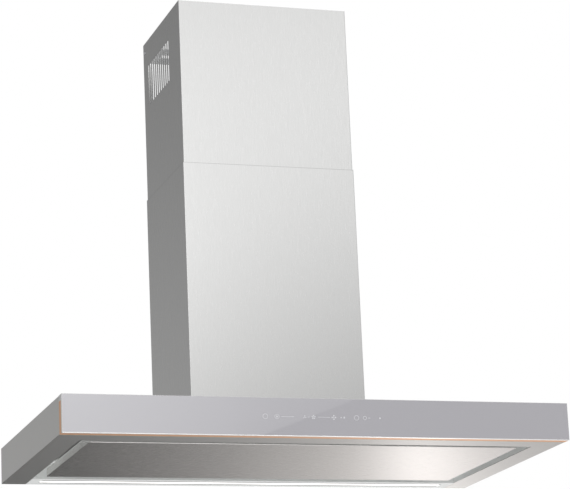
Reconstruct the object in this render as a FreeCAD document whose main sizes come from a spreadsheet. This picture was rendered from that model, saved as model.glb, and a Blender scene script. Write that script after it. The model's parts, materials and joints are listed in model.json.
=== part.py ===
"""Wall-mounted chimney range hood with a glass front, as a parametric FreeCAD document.

Frame: the origin is on the wall, at the middle of the width and level with the canopy's underside.
+X is right seen from the front, +Y points into the wall and +Z is up. Sizes are in millimetres.

Every driving size is a cell of the spreadsheet below. PLACES names the positions that follow from
those sizes. Text such as "canopy_width / 2" is bound to the sheet by refs() and setExpression.
"""
import FreeCAD, Part
import Sketcher
import math
import os
import re

SIZES = {
    # Canopy: the flat steel body.
    "canopy_width": 898,
    "canopy_depth": 502.5,  # wall to the glass front face
    "canopy_height": 65,
    "canopy_sheet": 1,
    "bend_radius": 0.9,
    "side_rim": 44,
    "front_rim": 47.5,
    "recess_height": 29.4,  # underside to the ceiling of the suction recess
    "tower_opening_inset": 14,  # canopy opening inside the blower box's outline
    # Glass front.
    "front_depth": 20.5,  # glass and trim ahead of the steel
    "glass_thickness": 6,
    "glass_chamfer": 0.6,
    "trim_wall": 2,
    "top_rail_height": 10,
    "carrier_sheet": 1.2,
    "carrier_clearance": 0.5,
    "carrier_boss_radius": 5,
    "carrier_screw_inset": 59,
    "carrier_screw_gap": 10,  # from the touch board's window to the inner screws
    "touch_width": 240,
    "touch_height": 26,
    "board_thickness": 1.6,
    "board_clearance": 0.3,
    "icon_rise": 0.1,  # symbol row above mid-height
    "print_thickness": 0.15,
    "print_line": 0.8,
    # Rear light bar.
    "light_bar_depth": 57,
    "bar_clearance": 0.4,
    "window_inset": 20.5,
    "window_front_margin": 14.5,
    "window_rear": 16,
    "diffuser_clearance": 0.3,
    "diffuser_thickness": 2.5,
    "channel_wall": 1.2,
    "channel_height": 12,
    "channel_lip": 3,
    "led_board_width": 12,
    # Perimeter panel: a tray with upturned, hemmed edges.
    "side_gap": 21,
    "front_gap": 14,
    "rear_gap": 25,
    "panel_sheet": 1,
    "panel_flange": 14,
    "panel_hem": 4,
    "panel_radius": 3,
    # Panel hinges and magnets.
    "hinge_from_side": 84,
    "hinge_inset": 10,
    "hinge_height": 18,
    "hinge_pin_radius": 2,
    "pin_clearance": 0.05,
    "hinge_boss_radius": 4.5,
    "hinge_arm_width": 10,
    "hinge_ear_sheet": 2,
    "hinge_side_clearance": 0.6,
    "hinge_notch": 20,
    "magnet_from_side": 134,
    "magnet_inset": 17,
    "magnet_length": 30,
    "magnet_width": 12,
    "magnet_gap": 0.4,
    "striker_height": 15,
    "striker_sheet": 1,
    # Grease filters.
    "filter_side_gap": 65,
    "filter_front_gap": 54.5,
    "filter_thickness": 9,
    "filter_spacing": 20,
    "filter_rear_gap": 53,
    "filter_lip": 15,
    "filter_frame_wall": 8,
    "filter_skin": 1,
    "rail_sheet": 1.2,
    "rail_clearance": 0.8,
    "rail_lip": 7,
    "latch_width": 60,
    "latch_depth": 26,
    "latch_sheet": 1.6,
    "latch_gap": 0.4,
    "latch_grip_drop": 2.7,
    "tongue_width": 24,
    "tongue_reach": 6,
    "latch_travel": 6,
    "rivet_radius": 2,
    "rivet_head_radius": 4,
    "rivet_head": 1,
    "rivet_spacing": 40,
    "rivet_clearance": 0.4,
    # Electrical boxes above the recess.
    "box_clearance": 4,
    "box_width": 50,
    "control_box_length": 200,
    "driver_length": 110,
    "box_top_gap": 7.6,
    "box_wall": 2,
    "gland_radius": 10,
    "gland_thread_radius": 8,
    "gland_bore": 4.5,
    "gland_height": 12,
    "gland_flange": 4,
    "gland_from_wall": 60,
    # Wall plate and fixing holes.
    "wall_plate_sheet": 3,
    "wall_plate_low_gap": 7.6,
    "wall_plate_top_gap": 5,
    "wall_bolt_spacing": 600,
    "wall_bolt_radius": 4.25,
    "wall_plate_overhang": 30,
    # Blower box and wall ears, inside the chimney covers.
    "tower_side_gap": 29.95,
    "tower_front_gap": 20.1,
    "tower_sheet": 1,
    "tower_foot": 12,
    "tower_foot_rear": 100,
    "ear_reach": 14,
    "ear_height": 30,
    "ear_drop": 40,
    "ear_bolt_inset": 7,
    "ear_bolt_radius": 3.5,
    # Scroll, motor and impeller on one axis along X; the scroll fills the blower box.
    "scroll_rear_gap": 2.5,
    "scroll_front_gap": 7.5,
    "scroll_floor_gap": 5.5,
    "scroll_chute": 17,
    "transition_height": 34,
    "impeller_half_width": 60,
    "blade_depth": 14,
    "blade_sheet": 1,
    "blade_ring": 2,
    "blade_inset": 0.5,  # blade edges inside the end rings' edges
    "impeller_disc": 2,
    "tongue_gap": 8,
    "scroll_growth": 10,  # growth of the scroll's radius in each quarter turn
    "scroll_half_width": 65,
    "scroll_sheet": 1,
    "scroll_side_sheet": 1.2,
    "scroll_rim": 1.5,
    "inlet_inset": 22,
    "inlet_lip": 8,
    "inlet_edge": 1,
    "hub_radius": 15,
    "hub_half_length": 12,
    "shaft_radius": 4,
    "shaft_left": 16,
    "shaft_right": 70,
    "motor_air_gap": 13,
    "motor_start": 16,
    "motor_length": 70,
    "motor_chamfer": 5,
    "bracket_arm": 16,
    "bracket_sheet": 2,
    "bracket_hub_inset": 18,
    "bracket_foot_gap": 6,
    # Outlet collar and damper.
    "collar_radius": 75,
    "collar_wall": 1.5,
    "collar_height": 50,
    "collar_wall_gap": 7,
    "collar_flange": 9,
    "flap_height": 22,
    "flap_clearance": 1.5,
    "flap_sheet": 1.2,
    "flap_pin_offset": 4,
    "flap_pin_radius": 1.5,
    "flap_barrel_radius": 3,
    "flap_stop_depth": 3,
    "flap_stop_gap": 0.4,
    "flap_barrel_clearance": 4.5,
    # Chimney covers.
    "flue_width": 324.3,
    "flue_depth": 263.3,
    "flue_sheet": 0.8,
    "flue_bend": 1,
    "flue_flange": 15,
    "slide_gap": 0.6,
    "lower_flue_height": 479.2,
    "upper_flue_rise": 309.3,
    "upper_flue_overlap": 175,
    "foot_flange": 12,
    "vent_rear": 38.5,
    "vent_pitch": 14.1,
    "vent_slot": 7.4,
    "vent_drop": 50.5,
    "vent_height": 78.5,
    # Bracket that ties the upper cover to the wall.
    "tie_drop": 34.5,
    "tie_height": 31,
    "tie_sheet": 1.5,
    "tie_ear_depth": 30,
    "tie_slot_inset": 43.75,
    "tie_slot_length": 16,
    "tie_slot_radius": 3,
    "tie_notch": 4,
    # Small screws.
    "screw_radius": 1.75,
    "screw_head_radius": 3.5,
    "screw_head": 1.8,
    "screw_length": 8,
    "tie_screw_from_wall": 12.7,
    # How far a cutting solid runs past the face it cuts.
    "overcut": 1,
}

VENT_COUNT = 11
BLADE_COUNT = 36
MOTOR_ARMS = 3

PLACES = {
    "half_width": "canopy_width / 2",
    "steel_front": "front_depth - canopy_depth",
    "glass_back": "glass_thickness - canopy_depth",
    "trim_top": "canopy_height - top_rail_height",
    "recess_side": "canopy_width / 2 - side_rim",
    "recess_front": "steel_front + front_rim",
    "ceiling_top": "recess_height + canopy_sheet",
    "channel_top": "canopy_sheet + channel_height",
    "icon_height": "canopy_height / 2 + icon_rise",
    "carrier_screw_outer": "half_width - carrier_screw_inset",
    "carrier_screw_inner": "touch_width / 2 + carrier_screw_gap",
    "window_half_length": "recess_side - window_inset",
    "window_front": "light_bar_depth - window_front_margin",
    "panel_side": "recess_side - side_gap",
    "panel_front": "recess_front + front_gap",
    "panel_rear": "-light_bar_depth - rear_gap",
    "hinge_x": "panel_side - hinge_from_side",
    "hinge_y": "panel_rear - hinge_inset",
    "ear_inner": "hinge_arm_width / 2 + hinge_side_clearance",
    "magnet_x": "panel_side - magnet_from_side",
    "magnet_y": "panel_front + magnet_inset",
    "filter_rear": "-light_bar_depth - filter_rear_gap",
    "filter_front": "recess_front + filter_front_gap",
    "filter_width": "recess_side - filter_spacing / 2 - filter_side_gap",
    "filter_bottom": "recess_height - filter_thickness",
    "filter_x": "(filter_width + filter_spacing) / 2",
    "latch_top": "filter_bottom - latch_gap",
    "latch_bottom": "latch_top - latch_sheet",
    "rivet_y": "filter_front + latch_depth / 2",
    "box_side": "recess_side - box_clearance",
    "box_top": "canopy_height - canopy_sheet - box_top_gap",
    "wall_plate_low": "recess_height + wall_plate_low_gap",
    "wall_plate_top": "canopy_height - canopy_sheet - wall_plate_top_gap",
    "wall_bolt_height": "(wall_plate_low + wall_plate_top) / 2",
    "tower_side": "upper_side - flue_sheet - tower_side_gap",
    "tower_depth": "-upper_front - flue_sheet - tower_front_gap",
    "tower_top": "scroll_top + transition_height + tower_sheet",
    "ear_bolt_height": "tower_top - ear_drop",
    "fan_y": "-tower_sheet - scroll_rear_gap - scroll_plate",
    "fan_height": "canopy_height + scroll_floor_gap + scroll_plate",
    "impeller_radius": "scroll_plate - scroll_rim - scroll_shift - 2 * scroll_growth - tongue_gap",
    "inlet_radius": "impeller_radius - inlet_inset",
    "motor_radius": "inlet_radius - motor_air_gap",
    "bracket_foot_radius": "inlet_radius + inlet_lip + bracket_foot_gap",
    "scroll_first": "impeller_radius + tongue_gap",
    "scroll_shift": "scroll_growth / 2",
    "scroll_rear": "fan_y + scroll_first + 2 * scroll_growth + scroll_shift",
    "scroll_plate": "(tower_depth - 2 * tower_sheet - scroll_rear_gap - scroll_front_gap) / 2",
    "scroll_top": "fan_height + scroll_first + scroll_chute",
    "side_outer": "scroll_half_width + scroll_side_sheet",
    "collar_y": "-collar_radius - collar_wall_gap",
    "collar_bore": "collar_radius - collar_wall",
    "flap_z": "tower_top + flap_height",
    "flue_side": "flue_width / 2",
    "flue_front": "-flue_depth",
    "flue_top": "canopy_height + lower_flue_height",
    "upper_side": "flue_side - flue_sheet - slide_gap",
    "upper_front": "flue_front + flue_sheet + slide_gap",
    "upper_rear": "-flue_sheet - slide_gap",
    "upper_top": "flue_top + upper_flue_rise",
    "upper_bottom": "flue_top - upper_flue_overlap",
    "tie_low": "upper_top - tie_drop",
    "tie_middle": "tie_low + tie_height / 2",
    "tie_slot_x": "upper_side - tie_slot_inset",
    "vent_top": "upper_top - vent_drop",
}

GLAND_PLACE = ("-(tower_side + flue_side) / 2", "-gland_from_wall")
CARRIER_SCREWS = (
    "-carrier_screw_outer",
    "-carrier_screw_inner",
    "carrier_screw_inner",
    "carrier_screw_outer",
)

# Symbols printed on the glass: X of the centre, radius, and for a fan the number of dots round it.
ICON_RINGS = {"power": (-101.5, 4.6), "lamp": (-81, 4.2), "timer": (60, 4.4), "air": (75, 3.4)}
ICON_SPOTS = {"lamp_core": (-81, 1.7), "dot": (102, 1.5)}
ICON_FANS = {"fan_small": (-32, 2.8, 3), "fan_middle": (-16.5, 3.8, 5), "fan_large": (19.5, 4.4, 4)}
# Short lines: X of both ends and the height.
ICON_BARS = {
    "line_left": (-74, -51.5, "print_line"),
    "minus": (-27, -23.5, "print_line"),
    "line_middle": (-8.5, 13, "print_line"),
    "mark_first": (31.4, 33.4, 2),
    "mark_second": (36.6, 39.4, 3),
    "air_line": (80.4, 84.6, "print_line"),
}
# A fan symbol's parts, as shares of its radius.
FAN_HUB = 0.25
FAN_DOT = 0.3125
FAN_REACH = 0.68

SIDES = (("left", "-1"), ("right", "1"))
TOLERANCE = 1e-6

AXIS_TURNS = {
    "x": FreeCAD.Rotation(FreeCAD.Vector(0, 1, 0), 90),
    "y": FreeCAD.Rotation(FreeCAD.Vector(1, 0, 0), -90),
    "z": FreeCAD.Rotation(),
}

doc = FreeCAD.newDocument("RangeHood")
sheet = doc.addObject("Spreadsheet::Sheet", "Sizes")
for row, (alias, size) in enumerate(SIZES.items(), start=1):
    sheet.set(f"A{row}", alias)
    sheet.set(f"B{row}", str(size))
    sheet.setAlias(f"B{row}", alias)
doc.recompute()

nodes = {}


# ---- Helpers: expressions, primitives and booleans ------------------------------------------


def refs(text):
    """Spell out the places in an expression and point its sizes at the spreadsheet."""

    def spell(match):
        word = match.group()
        if word in PLACES:
            return f"({refs(PLACES[word])})"
        return f"Sizes.{word}" if word in SIZES else word

    return re.sub(r"[a-z][a-z_]*", spell, str(text))


def value(text):
    """The number an expression gives now, for shapes that are made in code."""
    plain = refs(text).replace("Sizes.", "")
    numbers = re.sub(r"[a-z][a-z_]*", lambda match: repr(sheet.get(match.group())), plain)
    return FreeCAD.Units.Quantity(numbers).Value


def bind(item, property_name, text):
    item.setExpression(property_name, refs(text))


def move(item, base):
    for axis, text in zip("xyz", base):
        bind(item, f"Placement.Base.{axis}", text)


def box(name, low, high):
    """A block between two corners."""
    item = doc.addObject("Part::Box", name)
    for side, start, end in zip(("Length", "Width", "Height"), low, high):
        bind(item, side, f"({end}) - ({start})")
    move(item, low)
    return item


def rod(name, axis, start, radius, length):
    """A cylinder that runs from start along +X, +Y or +Z."""
    item = doc.addObject("Part::Cylinder", name)
    bind(item, "Radius", radius)
    bind(item, "Height", length)
    item.Placement.Rotation = AXIS_TURNS[axis]
    move(item, start)
    return item


def join(name, pieces):
    item = doc.addObject("Part::MultiFuse", name)
    item.Shapes = pieces
    return item


def group(name, pieces):
    """Separate solids that share one node."""
    item = doc.addObject("Part::Compound", name)
    item.Links = pieces
    return item


def cut(name, base, tools):
    item = doc.addObject("Part::Cut", name)
    item.Base = base
    item.Tool = tools[0] if len(tools) == 1 else group(f"{name}_tools", tools)
    return item


def keep(label, item):
    """Register a finished sub-part under its node's name."""
    item.Label = label
    nodes[label] = item
    return item


# ---- Helpers: PartDesign bodies --------------------------------------------------------------


def sketch_on(body, role, name, offset="0"):
    """A sketch on one of the body's origin planes, moved along the plane's normal."""
    plane = next(item for item in body.Origin.OriginFeatures if item.Role == role)
    sketch = body.newObject("Sketcher::SketchObject", name)
    sketch.AttachmentSupport = [(plane, "")]
    sketch.MapMode = "FlatFace"
    bind(sketch, "AttachmentOffset.Base.z", offset)
    return sketch


def pin_point(sketch, geometry, corner, place):
    """Fix a point of the sketch at two expressions."""
    for kind, text in zip(("DistanceX", "DistanceY"), place):
        number = sketch.addConstraint(
            Sketcher.Constraint(kind, -1, 1, geometry, corner, value(text))
        )
        label = f"g{geometry}p{corner}{kind[-1]}"
        sketch.renameConstraint(number, label)
        bind(sketch, f"Constraints.{label}", text)


def polygon(sketch, points):
    """A closed outline through points given as pairs of expressions."""
    vectors = [FreeCAD.Vector(value(u), value(v), 0) for u, v in points]
    first = sketch.GeometryCount
    for start, end in zip(vectors, vectors[1:] + vectors[:1]):
        sketch.addGeometry(Part.LineSegment(start, end), False)
    for index, place in enumerate(points):
        before = first + (index - 1) % len(points)
        sketch.addConstraint(Sketcher.Constraint("Coincident", before, 2, first + index, 1))
        pin_point(sketch, first + index, 1, place)


def rectangle(sketch, low, high):
    polygon(sketch, [low, (high[0], low[1]), high, (low[0], high[1])])


def pad(body, sketch, length, name):
    feature = body.newObject("PartDesign::Pad", name)
    feature.Profile = sketch
    bind(feature, "Length", length)
    return feature


def round_edges(body, name, radius, wanted):
    """Fillet the body's edges that wanted() picks."""
    doc.recompute()
    base = body.Tip
    names = [f"Edge{i}" for i, edge in enumerate(base.Shape.Edges, start=1) if wanted(edge)]
    feature = body.newObject("PartDesign::Fillet", name)
    feature.Base = (base, names)
    bind(feature, "Radius", radius)
    return feature


def is_upright(edge):
    return edge.BoundBox.ZLength > edge.BoundBox.DiagonalLength - TOLERANCE


def rounded_block(name, low, high, radius, wanted=is_upright):
    """A PartDesign block between two corners, with the wanted edges rounded."""
    body = doc.addObject("PartDesign::Body", name)
    sketch = sketch_on(body, "XY_Plane", f"{name}_outline", low[2])
    rectangle(sketch, low[:2], high[:2])
    pad(body, sketch, f"({high[2]}) - ({low[2]})", f"{name}_pad")
    round_edges(body, f"{name}_bends", radius, wanted)
    return body


def turned(name, axis_role, outline, axis_name):
    """A PartDesign revolution of a closed outline about an origin axis."""
    body = doc.addObject("PartDesign::Body", name)
    sketch = sketch_on(body, axis_role, f"{name}_profile")
    polygon(sketch, outline)
    feature = body.newObject("PartDesign::Revolution", f"{name}_turn")
    feature.Profile = sketch
    feature.ReferenceAxis = (
        next(o for o in body.Origin.OriginFeatures if o.Role == axis_name), [""]
    )
    feature.Angle = 360
    return body


def mirrored_pair(maker):
    """The pieces that maker(side, sign) returns for the left and the right side."""
    return [maker(side, sign) for side, sign in SIDES]


def span(sign, near, far):
    """Low and high X of a stretch between two distances from the centre, on either side."""
    ends = (f"{sign} * ({near})", f"{sign} * ({far})")
    return ends if sign == "1" else ends[::-1]


# ---- Canopy ----------------------------------------------------------------------------------


def is_bent(edge):
    """Every edge of the canopy but the cut one along the wall at the underside."""
    return edge.BoundBox.YMin < -TOLERANCE or edge.BoundBox.ZMax > TOLERANCE


def make_canopy():
    """Bent sheet box, open below inside its rims, with an opening under the blower."""
    outer = rounded_block(
        "canopy_outer",
        ("-half_width", "steel_front", "0"),
        ("half_width", "0", "canopy_height"),
        "bend_radius",
        is_bent,
    )
    hollow = box(
        "canopy_hollow",
        ("-half_width + canopy_sheet", "steel_front + canopy_sheet", "canopy_sheet"),
        ("half_width - canopy_sheet", "-canopy_sheet", "canopy_height - canopy_sheet"),
    )
    mouth = box(
        "canopy_mouth",
        ("-recess_side", "recess_front", "-canopy_sheet"),
        ("recess_side", "-canopy_sheet", "2 * canopy_sheet"),
    )
    opening = box(
        "canopy_blower_opening",
        (
            "-tower_side + tower_opening_inset",
            "-tower_depth + tower_opening_inset",
            "canopy_height / 2",
        ),
        (
            "tower_side - tower_opening_inset",
            "-tower_opening_inset",
            "canopy_height + canopy_sheet",
        ),
    )
    gland_start = GLAND_PLACE + ("canopy_height / 2",)
    gland_hole = rod("canopy_gland_hole", "z", gland_start, "gland_thread_radius", "canopy_height")
    tools = [hollow, mouth, opening, gland_hole] + wall_bolt_holes("canopy")
    for number, x in enumerate(CARRIER_SCREWS):
        start = (x, "steel_front - canopy_sheet", "canopy_height / 2")
        tools.append(
            rod(f"canopy_screw_hole_{number}", "y", start, "screw_radius", "3 * canopy_sheet")
        )
    for number, (x, y) in enumerate(tower_foot_places() + cover_foot_places()):
        start = (x, y, "canopy_height / 2")
        tools.append(rod(f"canopy_foot_hole_{number}", "z", start, "screw_radius", "canopy_height"))
    keep("canopy_shell", cut("canopy_shell", outer, tools))


def wall_bolt_holes(owner):
    """Drills for the two wall bolts, through the back sheet and the wall plate."""
    length = "canopy_sheet + wall_plate_sheet + 2 * overcut"
    holes = []
    for side, sign in (("left", "-"), ("right", "")):
        start = (
            f"{sign}wall_bolt_spacing / 2",
            "-canopy_sheet - wall_plate_sheet - overcut",
            "wall_bolt_height",
        )
        holes.append(rod(f"{owner}_wall_hole_{side}", "y", start, "wall_bolt_radius", length))
    return holes


def make_wall_plate():
    half = "wall_bolt_spacing / 2 + wall_plate_overhang"
    plate = box(
        "wall_plate_blank",
        (f"-({half})", "-canopy_sheet - wall_plate_sheet", "wall_plate_low"),
        (half, "-canopy_sheet", "wall_plate_top"),
    )
    keep("wall_plate", cut("wall_plate", plate, wall_bolt_holes("plate")))


def make_recess_pan():
    """Inverted tray that forms the recess: three walls and a ceiling with two filter openings."""
    blank = box(
        "pan_blank",
        ("-recess_side - canopy_sheet", "recess_front - canopy_sheet", "canopy_sheet"),
        ("recess_side + canopy_sheet", "-light_bar_depth + canopy_sheet", "ceiling_top"),
    )
    hollow = box(
        "pan_hollow",
        ("-recess_side", "recess_front", "0"),
        ("recess_side", "0", "recess_height"),
    )
    tools = [hollow]
    for side, sign in SIDES:
        inside = "filter_spacing / 2 + filter_lip"
        low, high = span(sign, inside, "filter_x + filter_width / 2 - filter_lip")
        tools.append(
            box(
                f"pan_opening_{side}",
                (low, "filter_front + filter_lip", "recess_height - overcut"),
                (high, "filter_rear - filter_lip", "ceiling_top + overcut"),
            )
        )
    keep("recess_pan", cut("recess_pan", blank, tools))


# ---- Glass front -----------------------------------------------------------------------------

def make_front_glass():
    body = doc.addObject("PartDesign::Body", "front_glass")
    sketch = sketch_on(body, "XZ_Plane", "glass_outline", "-glass_back")
    rectangle(sketch, ("-half_width", "0"), ("half_width", "canopy_height"))
    pad(body, sketch, "glass_thickness", "glass_pad")
    doc.recompute()
    blank = body.Tip
    front = [f"Edge{i}" for i, edge in enumerate(blank.Shape.Edges, start=1) if on_front(edge)]
    chamfer = body.newObject("PartDesign::Chamfer", "glass_polish")
    chamfer.Base = (blank, front)
    bind(chamfer, "Size", "glass_chamfer")
    keep("front_glass", body)


def on_front(edge):
    return abs(edge.BoundBox.YMax + value("canopy_depth")) < TOLERANCE


def make_trim():
    """A U of rose-gold strip behind the glass, closed above by a grey rail."""
    outer = box(
        "trim_outer", ("-half_width", "glass_back", "0"), ("half_width", "steel_front", "trim_top")
    )
    inner = box(
        "trim_inner",
        ("-half_width + trim_wall", "glass_back - overcut", "trim_wall"),
        ("half_width - trim_wall", "steel_front + overcut", "canopy_height"),
    )
    keep("copper_trim", cut("copper_trim", outer, [inner]))
    rail = box(
        "rail_outer",
        ("-half_width", "glass_back", "trim_top"),
        ("half_width", "steel_front", "canopy_height"),
    )
    groove = box(
        "rail_groove",
        ("-half_width + trim_wall", "glass_back + trim_wall", "trim_top - overcut"),
        ("half_width - trim_wall", "steel_front - trim_wall", "canopy_height - trim_wall"),
    )
    keep("trim_top_rail", cut("trim_top_rail", rail, [groove]))


def make_carrier():
    """Steel plate bonded to the glass, with screw bosses and a window for the touch board."""
    plate = box(
        "carrier_plate",
        (
            "-half_width + trim_wall + carrier_clearance",
            "glass_back",
            "trim_wall + carrier_clearance",
        ),
        (
            "half_width - trim_wall - carrier_clearance",
            "glass_back + carrier_sheet",
            "trim_top - carrier_clearance",
        ),
    )
    bosses = []
    drills = []
    for number, x in enumerate(CARRIER_SCREWS):
        start = (x, "glass_back", "canopy_height / 2")
        length = "steel_front - glass_back"
        bosses.append(rod(f"carrier_boss_{number}", "y", start, "carrier_boss_radius", length))
        drill_start = (x, "glass_back + carrier_sheet", "canopy_height / 2")
        drills.append(rod(f"carrier_drill_{number}", "y", drill_start, "screw_radius", length))
    window = box(
        "carrier_window",
        ("-touch_width / 2", "glass_back - overcut", "icon_height - touch_height / 2"),
        (
            "touch_width / 2",
            "glass_back + carrier_sheet + overcut",
            "icon_height + touch_height / 2",
        ),
    )
    keep(
        "glass_carrier",
        cut("glass_carrier", join("carrier_body", [plate] + bosses), [window] + drills),
    )
    board = box(
        "touch_board",
        (
            "board_clearance - touch_width / 2",
            "glass_back",
            "icon_height - touch_height / 2 + board_clearance",
        ),
        (
            "touch_width / 2 - board_clearance",
            "glass_back + board_thickness",
            "icon_height + touch_height / 2 - board_clearance",
        ),
    )
    keep("touch_board", board)
    screws = []
    for number, x in enumerate(CARRIER_SCREWS):
        place = (x, "steel_front + canopy_sheet", "canopy_height / 2")
        screws.append(screw(f"carrier_screw_{number}", "y", place, -1))
    keep("carrier_screws", group("carrier_screws", screws))


def screw(name, axis, place, into):
    """A pan-head screw: the head stands on place and the shank runs the other way.

    into is +1 when the shank runs along the positive axis and -1 when it runs along the negative.
    """
    index = "xyz".index(axis)
    head_start = list(place)
    shank_start = list(place)
    if into > 0:
        head_start[index] = f"{place[index]} - screw_head"
    else:
        shank_start[index] = f"{place[index]} - screw_length"
    head = rod(f"{name}_head", axis, head_start, "screw_head_radius", "screw_head")
    shank = rod(f"{name}_shank", axis, shank_start, "screw_radius", "screw_length")
    return join(name, [head, shank])


def print_spot(name, x, z, radius):
    start = (x, "-canopy_depth - print_thickness", z)
    return rod(name, "y", start, radius, "print_thickness")


def print_ring(name, x, radius):
    outer = print_spot(f"{name}_outer", x, "icon_height", radius)
    inner = print_spot(f"{name}_inner", x, "icon_height", f"{radius} - print_line")
    return cut(name, outer, [inner])


def print_bar(name, low_x, high_x, height):
    return box(
        name,
        (low_x, "-canopy_depth - print_thickness", f"icon_height - {height} / 2"),
        (high_x, "-canopy_depth", f"icon_height + {height} / 2"),
    )


def print_fan(name, x, radius, petals):
    """Dots around a centre, the usual sign for a fan."""
    spots = [print_spot(f"{name}_hub", x, "icon_height", radius * FAN_HUB)]
    for step in range(petals):
        angle = 2 * math.pi * step / petals + math.pi / 2
        place_x = x + math.cos(angle) * radius * FAN_REACH
        place_z = f"icon_height + {math.sin(angle) * radius * FAN_REACH:.4f}"
        spots.append(
            print_spot(f"{name}_petal_{step}", f"{place_x:.4f}", place_z, radius * FAN_DOT)
        )
    return spots


def make_icons():
    """Plain symbols printed on the glass: rings, dots, fans and short lines."""
    marks = [print_ring(f"icon_{name}", *place) for name, place in ICON_RINGS.items()]
    for name, (x, radius) in ICON_SPOTS.items():
        marks.append(print_spot(f"icon_{name}", x, "icon_height", radius))
    for name, place in ICON_FANS.items():
        marks += print_fan(f"icon_{name}", *place)
    marks += [print_bar(f"icon_{name}", *place) for name, place in ICON_BARS.items()]
    keep("touch_icons", group("touch_icons", marks))


# ---- Rear light bar --------------------------------------------------------------------------


def make_light_bar():
    """Open-topped tray behind the recess, with a long window in its floor for the LED strip."""
    outer = box(
        "bar_outer",
        ("-recess_side + bar_clearance", "-light_bar_depth", "0"),
        ("recess_side - bar_clearance", "-canopy_sheet", "recess_height"),
    )
    hollow = box(
        "bar_hollow",
        (
            "-recess_side + bar_clearance + canopy_sheet",
            "-light_bar_depth + canopy_sheet",
            "canopy_sheet",
        ),
        (
            "recess_side - bar_clearance - canopy_sheet",
            "-2 * canopy_sheet",
            "recess_height + overcut",
        ),
    )
    window = box(
        "bar_window",
        ("-window_half_length", "-window_front", "-overcut"),
        ("window_half_length", "-window_rear", "canopy_sheet + overcut"),
    )
    keep("rear_light_bar", cut("rear_light_bar", outer, [hollow, window]))

    strip = box(
        "diffuser_strip",
        ("-window_half_length + diffuser_clearance", "-window_front + diffuser_clearance", "0"),
        (
            "window_half_length - diffuser_clearance",
            "-window_rear - diffuser_clearance",
            "canopy_sheet",
        ),
    )
    ledge = box(
        "diffuser_ledge",
        (
            "-window_half_length - channel_lip / 2",
            "-window_front - channel_lip / 2",
            "canopy_sheet",
        ),
        (
            "window_half_length + channel_lip / 2",
            "-window_rear + channel_lip / 2",
            "canopy_sheet + diffuser_thickness",
        ),
    )
    keep("led_diffuser", join("led_diffuser", [strip, ledge]))

    flange = "channel_lip + channel_wall"
    channel_outer = box(
        "channel_outer",
        (f"-window_half_length - ({flange})", f"-window_front - ({flange})", "canopy_sheet"),
        (f"window_half_length + {flange}", f"-window_rear + {flange}", "channel_top"),
    )
    channel_hollow = box(
        "channel_hollow",
        ("-window_half_length - channel_lip", "-window_front - channel_lip", "0"),
        (
            "window_half_length + channel_lip",
            "-window_rear + channel_lip",
            "channel_top - channel_wall",
        ),
    )
    keep("led_channel", cut("led_channel", channel_outer, [channel_hollow]))

    middle = "-(window_front + window_rear) / 2"
    board_top = "channel_top - channel_wall"
    board = box(
        "led_board",
        (
            "-window_half_length",
            f"{middle} - led_board_width / 2",
            f"{board_top} - board_thickness",
        ),
        ("window_half_length", f"{middle} + led_board_width / 2", board_top),
    )
    keep("led_board", board)


# ---- Perimeter panel with hinges and magnets -------------------------------------------------


def hinge_notches():
    notches = []
    for side, sign in SIDES:
        low, high = span(sign, "hinge_x - hinge_notch", "hinge_x + hinge_notch")
        notches.append(
            box(
                f"panel_notch_{side}",
                (low, "panel_rear - panel_hem - overcut", "panel_sheet"),
                (high, "panel_rear + overcut", "panel_flange + overcut"),
            )
        )
    return notches


def make_panel():
    outer = rounded_block(
        "panel_outer",
        ("-panel_side", "panel_front", "0"),
        ("panel_side", "panel_rear", "panel_flange"),
        "panel_radius",
    )
    round_edges(
        outer, "panel_floor_bends", "bend_radius", lambda edge: edge.BoundBox.ZMax < TOLERANCE
    )
    tray = box(
        "panel_tray",
        ("-panel_side + panel_sheet", "panel_front + panel_sheet", "panel_sheet"),
        ("panel_side - panel_sheet", "panel_rear - panel_sheet", "panel_flange - panel_sheet"),
    )
    mouth = box(
        "panel_mouth",
        ("-panel_side + panel_hem", "panel_front + panel_hem", "panel_sheet"),
        ("panel_side - panel_hem", "panel_rear - panel_hem", "panel_flange + overcut"),
    )
    keep("perimeter_panel", cut("perimeter_panel", outer, [tray, mouth] + hinge_notches()))


def hinge_arm(side, sign):
    """Arm on the panel, from its floor up to a boss around the pin."""
    low, high = span(sign, "hinge_x - hinge_arm_width / 2", "hinge_x + hinge_arm_width / 2")
    web = box(
        f"arm_web_{side}",
        (low, "hinge_y - hinge_boss_radius", "panel_sheet"),
        (high, "hinge_y + hinge_boss_radius", "hinge_height"),
    )
    boss = rod(
        f"arm_boss_{side}",
        "x",
        (low, "hinge_y", "hinge_height"),
        "hinge_boss_radius",
        "hinge_arm_width",
    )
    bore = rod(
        f"arm_bore_{side}", "x", (f"{low} - overcut", "hinge_y", "hinge_height"),
        "hinge_pin_radius + pin_clearance", "hinge_arm_width + 2 * overcut",
    )
    return cut(f"hinge_arm_{side}", join(f"arm_body_{side}", [web, boss]), [bore])


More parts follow.
